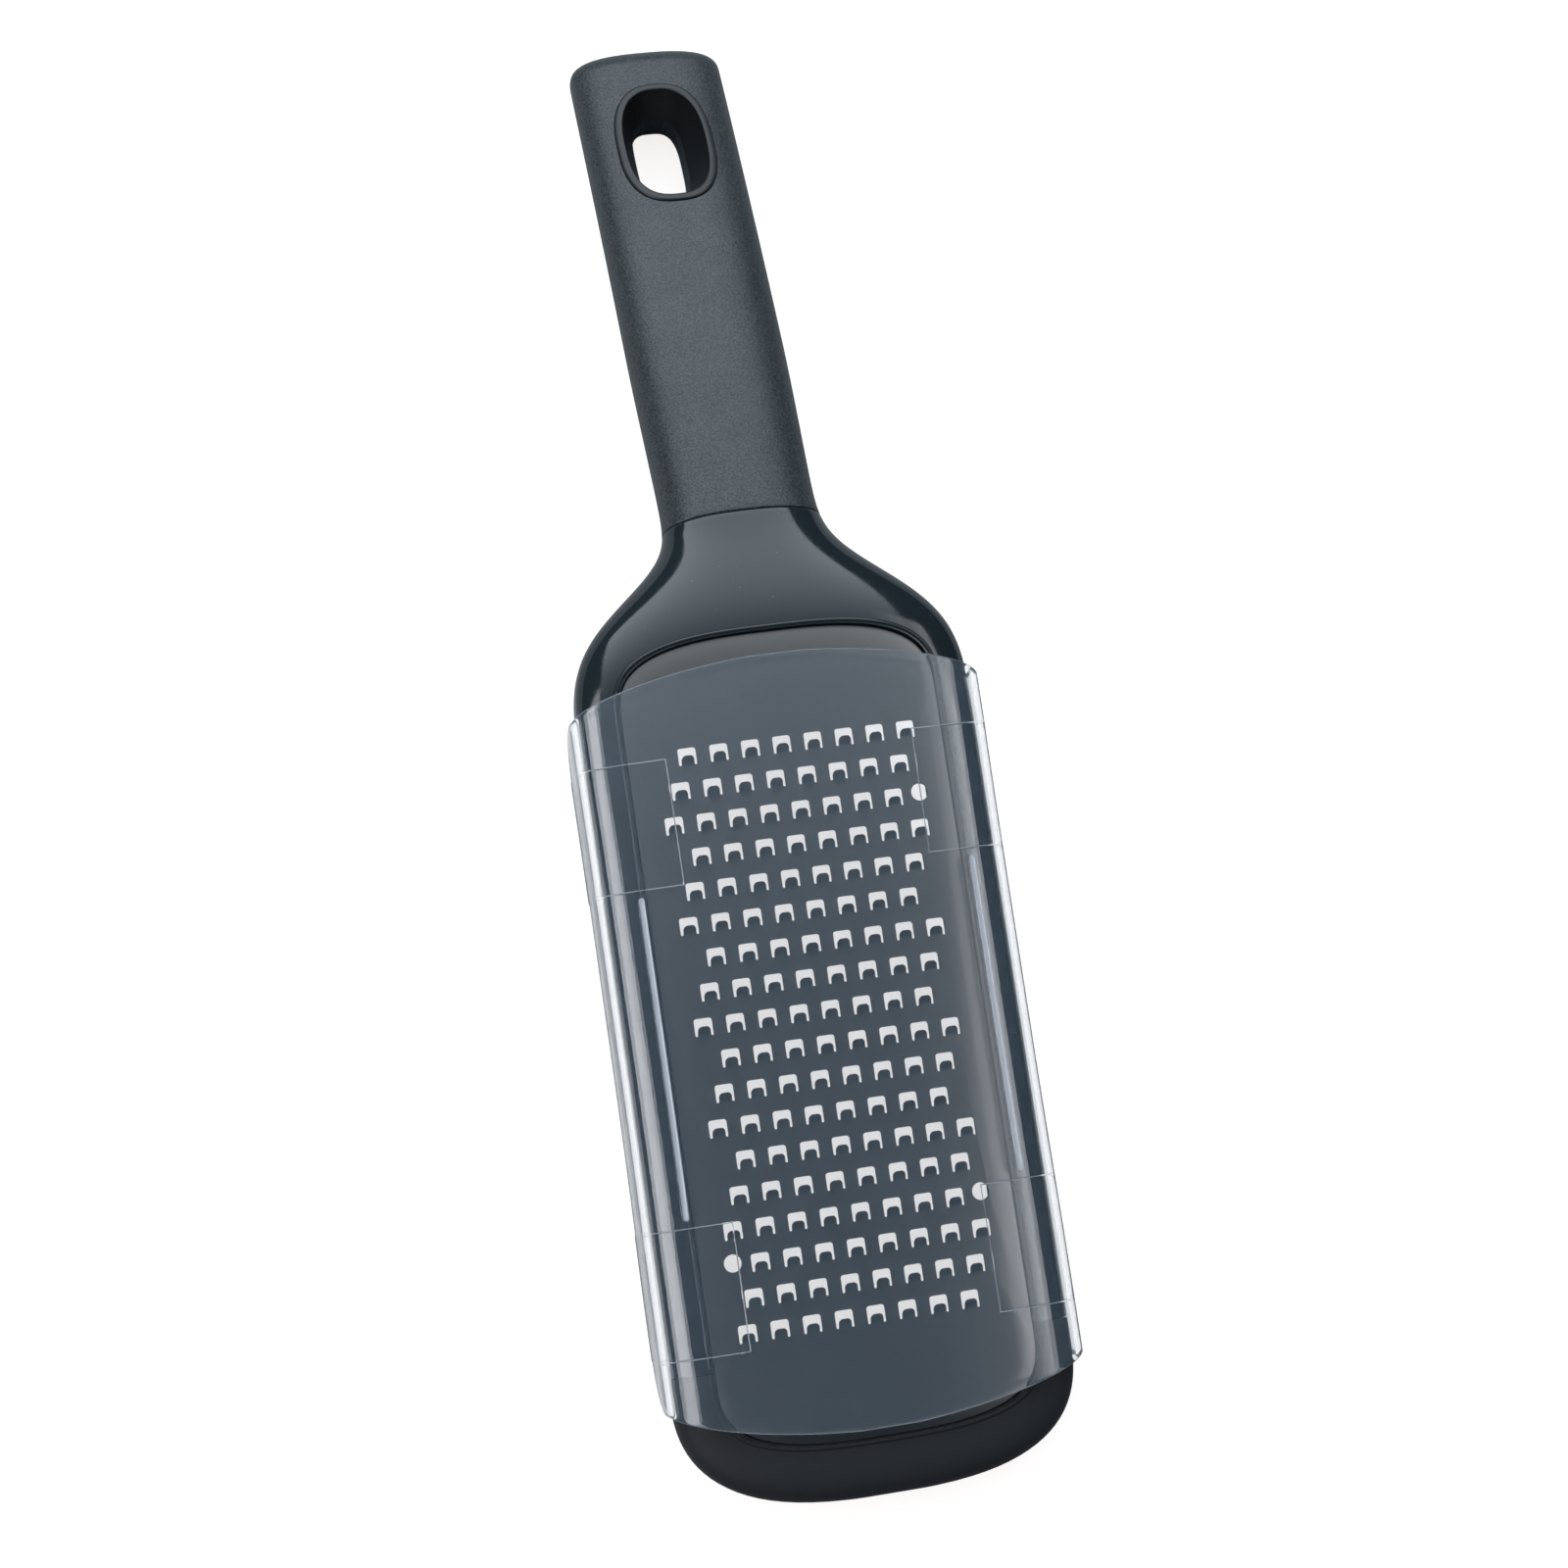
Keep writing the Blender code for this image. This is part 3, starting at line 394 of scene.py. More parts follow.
HEAD_HALF_WIDTH, HEAD_HALF_DEPTH, HEAD_MIDDLE = 38.0, 7.0, -7.3
TOP_POWER, BASE_POWER = 4.0, 8.0
NECK_START, NECK_LENGTH, NECK_BEND, NECK_HUMP = 51.5, 46.3, math.radians(15.9), 2.4
NECK_FLARE, NECK_FLARE_POWER, NECK_ROUNDING_POWER = 35.1, 4.76, 0.5
HANDLE_LENGTH, HANDLE_BOW = 113.5, math.radians(5.87)
TANG_LENGTH, TANG_HALF_WIDTH, TANG_HALF_DEPTH = 62.0, 9.5, 4.5
GRIP_START_HALF_WIDTH, GRIP_START_HALF_DEPTH, GRIP_POWER = 15.07, 8.5, 2.5
SEAT_GAP, SEAT_LEDGE, END_LEDGE = 0.3, 1.8, 3.5
FOOT_SEAM, FOOT_END, FOOT_SKIN = 60.0, 86.95, 2.2
FOOT_ROUND, FOOT_END_POWER, FOOT_SOLE_POWER, FOOT_EDGE_POWER = 24.0, 2.8, 3.0, 6.0
FOOT_TOP_RISE, FOOT_SOLE_DROP, FOOT_TIP_HALF_DEPTH = 0.6, 1.4, 0.8
LIP_RADIUS, LIP_SUNK, LIP_STEP = 0.55, 0.25, 1.2
SEAM_ROUND, SEAM_START, SEAM_RINGS = 0.35, 18.0, 5
HEAD_RINGS, HEAD_TOP_RUN, NECK_RINGS, TANG_RINGS, CUTTER_COLUMNS = 50, -2.0, 60, 30, 25
TIP_TURN, TIP_RINGS, TIP_LIMIT, EDGE_LIMIT, NEWTON_STEPS = 83.0, 24, 0.99, 0.999, 8
LIP_PLAN_STEPS, BEAD_POINTS = 121, 14
FINE = 144
TOOL_REACH = 20.0


def ease(share):
    """S-curve from 0 to 1, level at both ends."""
    share = np.clip(share, 0.0, 1.0)
    return share * share * (3 - 2 * share)


def blend(start, end, share):
    """Value part way from start to end."""
    return start + (end - start) * share


def column(values):
    """An array as one column, to combine with a row of section points."""
    return np.asarray(values, float).reshape(-1, 1)


def section(width, rise, drop, top_power, base_power):
    """Superellipse sections, one a row: x and z by the turn, top and base of their own power."""
    turn = np.linspace(0.0, 2 * math.pi, FINE, endpoint=False)[None]
    c, s = np.cos(turn), np.sin(turn)
    power = np.where(s >= 0, column(top_power), column(base_power))
    height = np.where(s >= 0, column(rise), column(drop))
    x = column(width) * np.sign(c) * np.abs(c) ** (2 / power)
    return x, height * np.sign(s) * np.abs(s) ** (2 / power)


def centre_line(run):
    """Y, Z and slope of the middle at a run: straight head, neck arc, flatter handle arc."""
    neck_radius, bow_radius = NECK_LENGTH / NECK_BEND, HANDLE_LENGTH / HANDLE_BOW
    slope = NECK_BEND * np.clip(run / NECK_LENGTH, 0.0, 1.0)
    bowed = NECK_BEND + np.maximum(run - NECK_LENGTH, 0.0) / bow_radius
    y = NECK_START + np.minimum(run, 0.0) + neck_radius * np.sin(slope)
    y = y + bow_radius * (np.sin(bowed) - math.sin(NECK_BEND))
    z = HEAD_MIDDLE - neck_radius * (1 - np.cos(slope))
    z = z - bow_radius * (math.cos(NECK_BEND) - np.cos(bowed))
    return y, z, slope + bowed - NECK_BEND


def stand(x, up, run, along=0.0):
    """Sections set square to the centre line at their runs, shifted along it."""
    y, z, slope = centre_line(np.asarray(run, float))
    x, up, along, y, z, slope = np.broadcast_arrays(x, up, along, y, z, slope)
    c, s = np.cos(slope), np.sin(slope)
    return np.stack((x, y + along * c + up * s, z - along * s + up * c), axis=-1)


def loft(rings):
    """Corners and faces of a skin over rings of equal count, capped at both ends."""
    rows, columns = rings.shape[:2]
    caps = [list(range(columns)), list(range((rows - 1) * columns, rows * columns))]
    return rings.reshape(-1, 3), grid_faces(rows, columns, ring=True) + caps


def neck_width(run):
    """Half width that falls in a bell curve from the head's to the grip's start."""
    bell = np.exp(-((np.maximum(run, 0.0) / NECK_FLARE) ** NECK_FLARE_POWER))
    return blend(GRIP_START_HALF_WIDTH, HEAD_HALF_WIDTH, bell)


def neck_sizes(run, inset=0.0):
    """Half width, rise, drop and powers of the neck, humped on top, less an inset."""
    share = np.clip(np.asarray(run, float) / NECK_LENGTH, 0.0, 1.0)
    depth = blend(HEAD_HALF_DEPTH, GRIP_START_HALF_DEPTH, ease(share))
    hump = NECK_HUMP * np.sin(math.pi * share) ** 2
    rounding = ease(share**NECK_ROUNDING_POWER)
    top, base = blend(TOP_POWER, GRIP_POWER, rounding), blend(BASE_POWER, GRIP_POWER, rounding)
    return neck_width(run) - inset, depth + hump - inset, depth - inset, top, base


def foot_sizes(share, skin=0.0):
    """Half width, rise and drop of the foot a share of the way into its round end, less a skin."""
    toward = ease(share)
    width = (HEAD_HALF_WIDTH - skin) * (1 - share**FOOT_END_POWER) ** (1 / FOOT_END_POWER)
    edge = (1 - share**FOOT_EDGE_POWER) ** (1 / FOOT_EDGE_POWER)
    rise = (HEAD_HALF_DEPTH + FOOT_TOP_RISE * toward) * edge - skin
    drop = (HEAD_HALF_DEPTH + FOOT_SOLE_DROP * toward) * edge - skin
    return width, np.maximum(rise, FOOT_TIP_HALF_DEPTH), np.maximum(drop, FOOT_TIP_HALF_DEPTH)


def foot_rings(skin, share):
    """Rings of the foot's rounded end, from the tip back, less a skin."""
    base = blend(BASE_POWER, FOOT_SOLE_POWER, ease(share))
    x, up = section(*foot_sizes(share, skin), np.full(len(share), TOP_POWER), base)
    run = FOOT_ROUND - FOOT_END - (FOOT_ROUND - skin) * share - NECK_START
    return stand(x, up, column(run))


def plain_rings(runs, skin=0.0):
    """Rings of the straight head at these runs, less a skin."""
    depth, same = HEAD_HALF_DEPTH - skin, np.ones(len(runs))
    sizes = (HEAD_HALF_WIDTH - skin, depth, depth, TOP_POWER, BASE_POWER)
    x, up = section(*(size * same for size in sizes))
    return stand(x, up, column(runs))


def tang_rings(start, end, gap):
    """Oval rings along the handle's bow, for the tang or for the socket round it."""
    runs = np.linspace(start, end, TANG_RINGS)
    width, depth, power = TANG_HALF_WIDTH + gap, TANG_HALF_DEPTH + gap, GRIP_POWER
    sizes = (width, depth, depth, power, power)
    x, up = section(*(np.full(TANG_RINGS, size) for size in sizes))
    return stand(x, up, column(runs))


def through_cutter(name, inset, end_inset, floor, top):
    """Prism over the plate's outline, its floor worked out from x, its rows from side to side."""
    outline = plan_outline(inset, PLAN_STEPS, end_inset)
    left = outline[PLAN_STEPS // 2 : PLAN_STEPS // 2 + PLAN_STEPS + 1]
    across = np.linspace(-1.0, 1.0, CUTTER_COLUMNS)
    x, y = -column(left[:, 0]) * across, column(left[:, 1]) + 0 * across
    low, high = np.stack((x, y, floor(x)), axis=-1), np.stack((x, y, top + 0 * x), axis=-1)
    rows, columns = x.shape
    n = rows * columns
    faces = grid_faces(rows, columns) + grid_faces(rows, columns, n)
    for edge in (np.arange(rows) * columns, np.arange(rows) * columns + columns - 1):
        faces += np.column_stack((edge[:-1], edge[1:], edge[1:] + n, edge[:-1] + n)).tolist()
    return new_piece(name, np.concatenate((low, high)), faces)


def combine(piece, *tools):
    """Cut a piece with tools and keep the finished mesh."""
    for tool in tools:
        step = piece.modifiers.new(tool.name, "BOOLEAN")
        step.operation, step.solver, step.object = "DIFFERENCE", "EXACT", tool
    bpy.context.view_layer.update()
    finished = piece.evaluated_get(bpy.context.evaluated_depsgraph_get())
    mesh = bpy.data.meshes.new_from_object(finished)
    piece.modifiers.clear()
    piece.data = mesh
    shade(mesh)


def top_of(x, y):
    """Height of the head's, foot's or neck's upper face at a place in plan.

    On the neck the run that lies under the place comes from Newton steps; on the
    foot the section comes from the share of the way into its round end.
    """
    run = y - NECK_START
    share = np.clip((FOOT_ROUND - FOOT_END - y) / FOOT_ROUND, 0.0, TIP_LIMIT)
    foot_width, foot_rise, _ = foot_sizes(share)
    for _ in range(NEWTON_STEPS):
        width, rise, _, power, _ = neck_sizes(run)
        width, rise = np.where(share > 0, foot_width, width), np.where(share > 0, foot_rise, rise)
        up = rise * (1 - np.minimum(np.abs(x) / width, EDGE_LIMIT) ** power) ** (1 / power)
        middle_y, middle_z, slope = centre_line(run)
        run = run + y - middle_y - up * np.sin(slope)
    return middle_z + up * np.cos(slope)


def bead(path, radius):
    """Round bead along a path: circles in the planes square to it, capped."""
    ahead = np.gradient(path, axis=0)
    ahead /= np.linalg.norm(ahead, axis=1, keepdims=True)
    side = np.cross(ahead, (0.0, 0.0, 1.0))
    side /= np.linalg.norm(side, axis=1, keepdims=True)
    up = np.cross(side, ahead)
    turn = np.linspace(0.0, 2 * math.pi, BEAD_POINTS, endpoint=False)[None, :, None]
    circles = np.cos(turn) * side[:, None] + np.sin(turn) * up[:, None]
    return loft(path[:, None] + radius * circles)


def lip_path(on_foot):
    """Line of the lip, on one side of the foot's seam: just outside the plate, a little sunk."""
    outline = plan_outline(-SEAT_GAP - LIP_RADIUS, LIP_PLAN_STEPS)
    outline = np.vstack((outline, outline[:1]))
    way = np.concatenate(([0.0], np.cumsum(np.linalg.norm(np.diff(outline, axis=0), axis=1))))
    even = np.arange(0.0, way[-1], LIP_STEP)
    plan = np.column_stack([np.interp(even, way, outline[:, axis]) for axis in (0, 1)])
    plan = np.roll(plan, -np.argmax(plan[:, 1] < -FOOT_SEAM), axis=0)
    kept = plan[:, 1] < -FOOT_SEAM - SEAT_GAP if on_foot else plan[:, 1] > -FOOT_SEAM
    plan = plan[kept]
    return np.column_stack((plan, top_of(*plan.T) - LIP_SUNK))


# ABS, moulded against polished steel: dark slate with mirror-like, slightly
# wavy reflections. The wave is sink, some 18 mm across; a fine haze of handling
# 1 mm across softens the gloss, and a few dust specks of 0.45 mm catch light.
abs_gloss, abs_shader = new_look(
    "moulded_gloss_abs", Base_Color=linear("#20282b"), Roughness=0.1, IOR=1.54
)
place = node(abs_gloss, "TexCoord", {})
sink = noise(abs_gloss, place, 18.0, 1.0)
sink_bump = bump(abs_gloss, sink, 0.05, 0.6)
handling = noise(abs_gloss, place, 1.0, 2.0)
haze = ramp(abs_gloss, handling, (0.35, 0.75), (0.09, 0.15))
dust = noise(abs_gloss, place, 0.45, 0.0)
speck = ramp(abs_gloss, dust, (0.86, 0.89), (0.0, 0.4))
dusted = two_tone(abs_gloss, speck.outputs["Result"], "#20282b", "#8d9497")
connect(abs_gloss, dusted.outputs["Result"], abs_shader.inputs["Base Color"])
connect(abs_gloss, haze.outputs["Result"], abs_shader.inputs["Roughness"])
connect(abs_gloss, sink_bump.outputs["Normal"], abs_shader.inputs["Normal"])

tip_shares = np.sin(np.radians(np.linspace(TIP_TURN, 0.0, TIP_RINGS)))
neck_runs = np.linspace(0.0, NECK_LENGTH - SEAM_ROUND, NECK_RINGS)
neck_x, neck_up = section(*neck_sizes(neck_runs))
seam_turn = np.radians(np.linspace(SEAM_START, 90.0, SEAM_RINGS))
seam_inset, seam_back = SEAM_ROUND * (1 - np.cos(seam_turn)), SEAM_ROUND * (1 - np.sin(seam_turn))
seam_x, seam_up = section(*neck_sizes(NECK_LENGTH - seam_back, seam_inset))
frame_rings = np.concatenate((
    foot_rings(FOOT_SKIN, tip_shares),
    plain_rings([-FOOT_SEAM - NECK_START], FOOT_SKIN),
    plain_rings(np.linspace(-FOOT_SEAM - NECK_START, HEAD_TOP_RUN, HEAD_RINGS)),
    stand(neck_x, neck_up, column(neck_runs)),
    stand(seam_x, seam_up, column(NECK_LENGTH - seam_back)),
    tang_rings(NECK_LENGTH, NECK_LENGTH + TANG_LENGTH, 0.0),
))


def seat_floor(x):
    """Floor of the blade's seat: the crown, less the plate's thickness and the gap."""
    return -(x**2) / (2 * CROWN_RADIUS) - PLATE_THICKNESS - SEAT_GAP


def far_below(x):
    """Level floor under the whole head."""
    return 0 * x - 1.5 * TOOL_REACH


seat_tool = through_cutter("seat_tool", -SEAT_GAP, -SEAT_GAP, seat_floor, TOOL_REACH)
window_tool = through_cutter("window_tool", SEAT_LEDGE, END_LEDGE, far_below, TOOL_REACH + 1)
frame_piece = new_piece("moulded_frame", *loft(frame_rings), abs_gloss)
combine(frame_piece, seat_tool, window_tool)
lip = new_piece("blade_lip", *bead(lip_path(False), LIP_RADIUS), abs_gloss)
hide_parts("frame")


# Foot. A soft, matte thermoplastic rubber cap, moulded over the head's core;
# it ends in a seam under the cover and keeps the lip round the blade going.

# Thermoplastic rubber, moulded against spark-eroded steel: charcoal, with a
# broad dull sheen broken by a grain of some 0.2 mm; drawn 0.4 mm to show.
rubber, rubber_shader = new_look(
    "moulded_tpe_rubber", Base_Color=linear("#1c1e21"), Roughness=0.66, IOR=1.5
)
place = node(rubber, "TexCoord", {})
grain = noise(rubber, place, 0.4, 2.0)
grain_bump = bump(rubber, grain, 0.18, 0.08)
connect(rubber, grain_bump.outputs["Normal"], rubber_shader.inputs["Normal"])


def rest_flat(piece):
    """Press flat on the table what would sink into it."""
    corners = np.empty(3 * len(piece.data.vertices))
    piece.data.vertices.foreach_get("co", corners)
    corners[2::3] = np.maximum(corners[2::3], 0.0)
    piece.data.vertices.foreach_set("co", corners)
    piece.data.update()


foot_outer = np.concatenate((
    foot_rings(0.0, tip_shares), plain_rings([-FOOT_SEAM - SEAT_GAP - NECK_START])
))
core_room = np.concatenate((
    foot_rings(FOOT_SKIN - SEAT_GAP, tip_shares),
    plain_rings([TOOL_REACH - FOOT_SEAM - NECK_START], FOOT_SKIN - SEAT_GAP),
))
foot_piece = new_piece("soft_foot", *loft(foot_outer), rubber)
core_tool = new_piece("core_tool", *loft(core_room))
combine(foot_piece, core_tool, seat_tool, window_tool)
rest_flat(foot_piece)
foot_lip = new_piece("foot_lip", *bead(lip_path(True), LIP_RADIUS), rubber)
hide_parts("foot")


# Grip. A stiff sleeve with a soft-touch, fine-grained coat, pressed over the
# tang; its end is closed and rounded, and the hanging hole goes through it.

GRIP_HALF_WIDTH, GRIP_WIDENING, GRIP_END_HALF_DEPTH = 15.64, 41.0, 6.6
GRIP_END_ROUND, GRIP_END_POWER = 6.0, 3.0
GRIP_RINGS, GRIP_END_TURN, GRIP_END_RINGS = 70, 84.0, 18
GRIP_END = NECK_LENGTH + HANDLE_LENGTH
SEAM_GAP = 0.1
HOLE_FROM_END, HOLE_POWER, THROAT_POWER = 27.1, 2.6, 3.2
HOLE_LEAN = math.radians(11.3)
LINER_LIP_HALF_WIDTH, LINER_LIP_HALF_LENGTH = 9.85, 14.8
LINER_LIP_BAND, LINER_LIP_HEIGHT = 1.65, 0.6
LINER_WALL, LINER_DEPTH, THROAT_TAPER = 1.3, 8.85, 0.6
THROAT_HALF_WIDTH, THROAT_HALF_LENGTH = 5.2, 10.7
RECESS_GAP, RECESS_DEPTH = 0.12, 0.4


def grip_sizes(run):
    """Half width, the end of the neck's bell curve plus a widening, and half depth, thinning."""
    along = run - NECK_LENGTH
    widening = (GRIP_HALF_WIDTH - GRIP_START_HALF_WIDTH) * ease(along / GRIP_WIDENING)
    depth = blend(GRIP_START_HALF_DEPTH, GRIP_END_HALF_DEPTH, along / HANDLE_LENGTH)
    return neck_width(run) + widening, depth


def grip_rings():
    """Rings of the rounded edge at the seam, then of the body, then of the rounded end."""
    start, body_end = NECK_LENGTH + SEAM_GAP, GRIP_END - GRIP_END_ROUND
    body = np.linspace(start + SEAM_ROUND, body_end, GRIP_RINGS)
    share = np.sin(np.radians(np.linspace(0.0, GRIP_END_TURN, GRIP_END_RINGS)))[1:]
    runs = np.concatenate((start + seam_back[::-1], body, body_end + GRIP_END_ROUND * share))
    inset = np.concatenate((seam_inset[::-1], np.zeros(len(body) + len(share))))
    share = np.concatenate((np.zeros(len(seam_back) + len(body)), share))
    width, depth = grip_sizes(runs)
    width = (width - inset) * (1 - share**GRIP_END_POWER) ** (1 / GRIP_END_POWER)
    depth = (depth - inset) * (1 - share**2) ** 0.5
    power = np.full(len(runs), GRIP_POWER)
    return stand(*section(width, depth, depth, power, power), column(runs))


HOLE_RUN = GRIP_END - HOLE_FROM_END
HOLE_WIDTH, HOLE_TOP = grip_sizes(HOLE_RUN)
THROAT_LEVEL = HOLE_TOP - LINER_DEPTH
THROAT_SHIFT = LINER_DEPTH * math.tan(HOLE_LEAN)
EXIT_SHIFT = 2 * HOLE_TOP * math.tan(HOLE_LEAN)
MOUTH_HALF_WIDTH = LINER_LIP_HALF_WIDTH - LINER_LIP_BAND
MOUTH_HALF_LENGTH = LINER_LIP_HALF_LENGTH - LINER_LIP_BAND


def hole_rings(stations):
    """Ovals round the hole, one a row of half width, half length, level, shift, on-surface flag.

    The deeper an oval lies, the squarer it is.
    """
    width, length, level, shift, on_surface = np.asarray(stations, float).T[..., None]
    power = blend(HOLE_POWER, THROAT_POWER, np.clip(shift / THROAT_SHIFT, 0.0, 1.0))
    turn = np.linspace(0.0, 2 * math.pi, FINE, endpoint=False)[None]
    c, s = np.cos(turn), np.sin(turn)
    x = width * np.sign(c) * np.abs(c) ** (2 / power)
    along = length * np.sign(s) * np.abs(s) ** (2 / power)
    across = np.minimum(np.abs(x) / HOLE_WIDTH, 1.0)
    surface = HOLE_TOP * (1 - across**GRIP_POWER) ** (1 / GRIP_POWER)
    return stand(x, level + on_surface * surface, HOLE_RUN, along + shift)


recess = (LINER_LIP_HALF_WIDTH + RECESS_GAP, LINER_LIP_HALF_LENGTH + RECESS_GAP)
liner_room = (MOUTH_HALF_WIDTH + LINER_WALL, MOUTH_HALF_LENGTH + LINER_WALL)
throat = (THROAT_HALF_WIDTH + SEAT_GAP, THROAT_HALF_LENGTH + SEAT_GAP)
throat_room = (throat[0] + LINER_WALL, throat[1] + LINER_WALL)
way_out = (throat[0] - THROAT_TAPER, throat[1] - THROAT_TAPER)
throat_floor = THROAT_LEVEL - SEAT_GAP
hole_tool = new_piece("hole_tool", *loft(hole_rings((
    (*recess, HOLE_TOP + TOOL_REACH, 0, 0),
    (*recess, -RECESS_DEPTH, 0, 1),
    (*liner_room, -RECESS_DEPTH, 0, 1),
    (*throat_room, throat_floor, THROAT_SHIFT, 0),
    (*throat, throat_floor, THROAT_SHIFT, 0),
    (*way_out, -HOLE_TOP, EXIT_SHIFT, 0),
    (*way_out, -HOLE_TOP - TOOL_REACH, EXIT_SHIFT, 0),
))))

# Soft-touch lacquer over a finely textured moulding: slate grey with a broad
# satin sheen that breaks into tiny sparkles. Its grain is some 0.15 mm; it is
# drawn 0.4 mm so that it shows, with a patchy tone from handling 6 mm across.
coat, coat_shader = new_look(
    "soft_touch_grip_coat", Base_Color=linear("#33393b"), Roughness=0.4, IOR=1.5
)
place = node(coat, "TexCoord", {})
pebble = noise(coat, place, 0.4, 3.0)
tone = ramp(coat, pebble, (0.35, 0.65), (0.0, 1.0))
speckle = two_tone(coat, tone.outputs["Result"], "#1d2123", "#43494b")
pebble_bump = bump(coat, pebble, 0.55, 0.12)
patches = noise(coat, place, 6.0, 2.0)
sheen = ramp(coat, patches, (0.3, 0.7), (0.36, 0.42))
connect(coat, speckle.outputs["Result"], coat_shader.inputs["Base Color"])
connect(coat, sheen.outputs["Result"], coat_shader.inputs["Roughness"])
connect(coat, pebble_bump.outputs["Normal"], coat_shader.inputs["Normal"])

grip_piece = new_piece("grip_sleeve", *loft(grip_rings()), coat)
tang_end = NECK_LENGTH + TANG_LENGTH + SEAT_GAP
socket_rings = tang_rings(NECK_LENGTH - TOOL_REACH, tang_end, SEAT_GAP)
socket_tool = new_piece("socket_tool", *loft(socket_rings))
combine(grip_piece, socket_tool, hole_tool)
rest_flat(grip_piece)
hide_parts("grip")


# Hole liner. A black moulded funnel snapped into the hanging hole, with a
# rounded lip on the grip's face and a mouth that narrows to the throat.

LIP_FULLNESS, LIP_RINGS = 0.6, 15

# Nylon, moulded satin: near black, so the funnel reads as a dark well while
# its lip keeps a soft grey sheen. Its grain is some 0.3 mm.
satin, satin_shader = new_look(
    "moulded_satin_nylon", Base_Color=linear("#191b1d"), Roughness=0.42, IOR=1.53
)
place = node(satin, "TexCoord", {})
mould = noise(satin, place, 0.3, 2.0)
mould_bump = bump(satin, mould, 0.12, 0.1)
connect(satin, mould_bump.outputs["Normal"], satin_shader.inputs["Normal"])

lip_turn = np.linspace(0.0, math.pi, LIP_RINGS)
lip_share = np.sign(np.cos(lip_turn)) * np.abs(np.cos(lip_turn)) ** LIP_FULLNESS
lip_out = LINER_LIP_BAND / 2 * (1 + lip_share)
lip_up = LINER_LIP_HEIGHT * np.clip(np.sin(lip_turn), 0.0, 1.0) ** LIP_FULLNESS
lip_stations = np.column_stack((
    MOUTH_HALF_WIDTH + lip_out, MOUTH_HALF_LENGTH + lip_out, lip_up, 0 * lip_out, 0 * lip_out + 1
))
under_lip = LINER_WALL - SEAT_GAP
throat_mouth = (THROAT_HALF_WIDTH, THROAT_HALF_LENGTH)
throat_back = (THROAT_HALF_WIDTH + LINER_WALL, THROAT_HALF_LENGTH + LINER_WALL)
liner_rings = hole_rings(np.vstack((
    (MOUTH_HALF_WIDTH + under_lip, MOUTH_HALF_LENGTH + under_lip, -RECESS_DEPTH / 2, 0, 1),
    (LINER_LIP_HALF_WIDTH, LINER_LIP_HALF_LENGTH, -RECESS_DEPTH / 2, 0, 1),
    lip_stations,
    (*throat_mouth, THROAT_LEVEL, THROAT_SHIFT, 0),
    (*throat_back, THROAT_LEVEL, THROAT_SHIFT, 0),
)))
rows, columns = liner_rings.shape[:2]
closed_rings = np.concatenate((liner_rings, liner_rings[:1]))
liner = new_piece(
    "hanging_hole_liner",
    closed_rings.reshape(-1, 3),
    grid_faces(rows + 1, columns, ring=True),
    satin,
)
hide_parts("hole_liner")


# Cover. One clear styrene channel, 1.2 mm thick, that slides on the rails; four
# hooks turn in under them, two long runners ride on top, and the cores that
# formed the hooks left a fine outline in the roof.

COVER_WALL, COVER_SIDE_GAP, COVER_RISE = 1.2, 0.4, 9.3
COVER_NECK_END, COVER_FOOT_END, COVER_END_ROUND, COVER_END_POWER = 70.3, 74.6, 8.6, 1.6
COVER_CORNER_LENGTH, COVER_CORNER_HEIGHT, COVER_EDGE_ROUND = 8.5, 9.0, 0.25
COVER_MIDDLE = (COVER_NECK_END - COVER_FOOT_END) / 2
COVER_WAIST, COVER_WAIST_Y, COVER_WAIST_LENGTH = 0.3, 10.0, 45.0
HOOK_REACH, HOOK_THICKNESS, HOOK_TOP = 3.6, 1.2, -14.6
HOOK_ZONES = ((29.15, 52.75), (-57.05, -33.45))
RUNNER_X, RUNNER_WIDTH, RUNNER_GAP, RUNNER_HALF_LENGTH = 31.8, 1.2, 0.3, 30.0
RUNNER_POWER = 3.0
MARK_X, MARK_WIDTH, MARK_HEIGHT, MARK_SLOPE = 23.6, 0.25, 0.1, 1.25
# The runners' value paints a pale band on the outer face over each runner: a painted highlight for
# the bright line of the runner beneath.
MARK_FROST, RUNNER_PAINTED_HIGHLIGHT, END_FROST = 0.5, 0.55, 0.9
ROOF_STEPS, WALL_STEPS, OUT_STEPS, EDGE_STEPS = 90, 13, 14, 5
ROW_START, ROW_STOP, ROW_SPACING = -57.0, 53.0, 6.0
MARK_PLACES, RUNNER_PLACES = (-0.5, -0.1, 0.1, 0.5), (0.0, 0.5, 0.75, 0.9, 0.98, 1.0)
RUNNER_TIP_TURNS = (0, 30, 50, 65, 78, 90)
HOOK_POINTS = 3


def runner_share(x, y):
    """How far down a runner hangs, 0 to 1: a superellipse of the distance from its spine."""
    past = np.maximum(np.abs(y - COVER_MIDDLE) - RUNNER_HALF_LENGTH + RUNNER_WIDTH / 2, 0.0)
    away = np.hypot(np.abs(x) - RUNNER_X, past) / (RUNNER_WIDTH / 2)
    return (1 - np.minimum(away, 1.0) ** RUNNER_POWER) ** (1 / RUNNER_POWER)


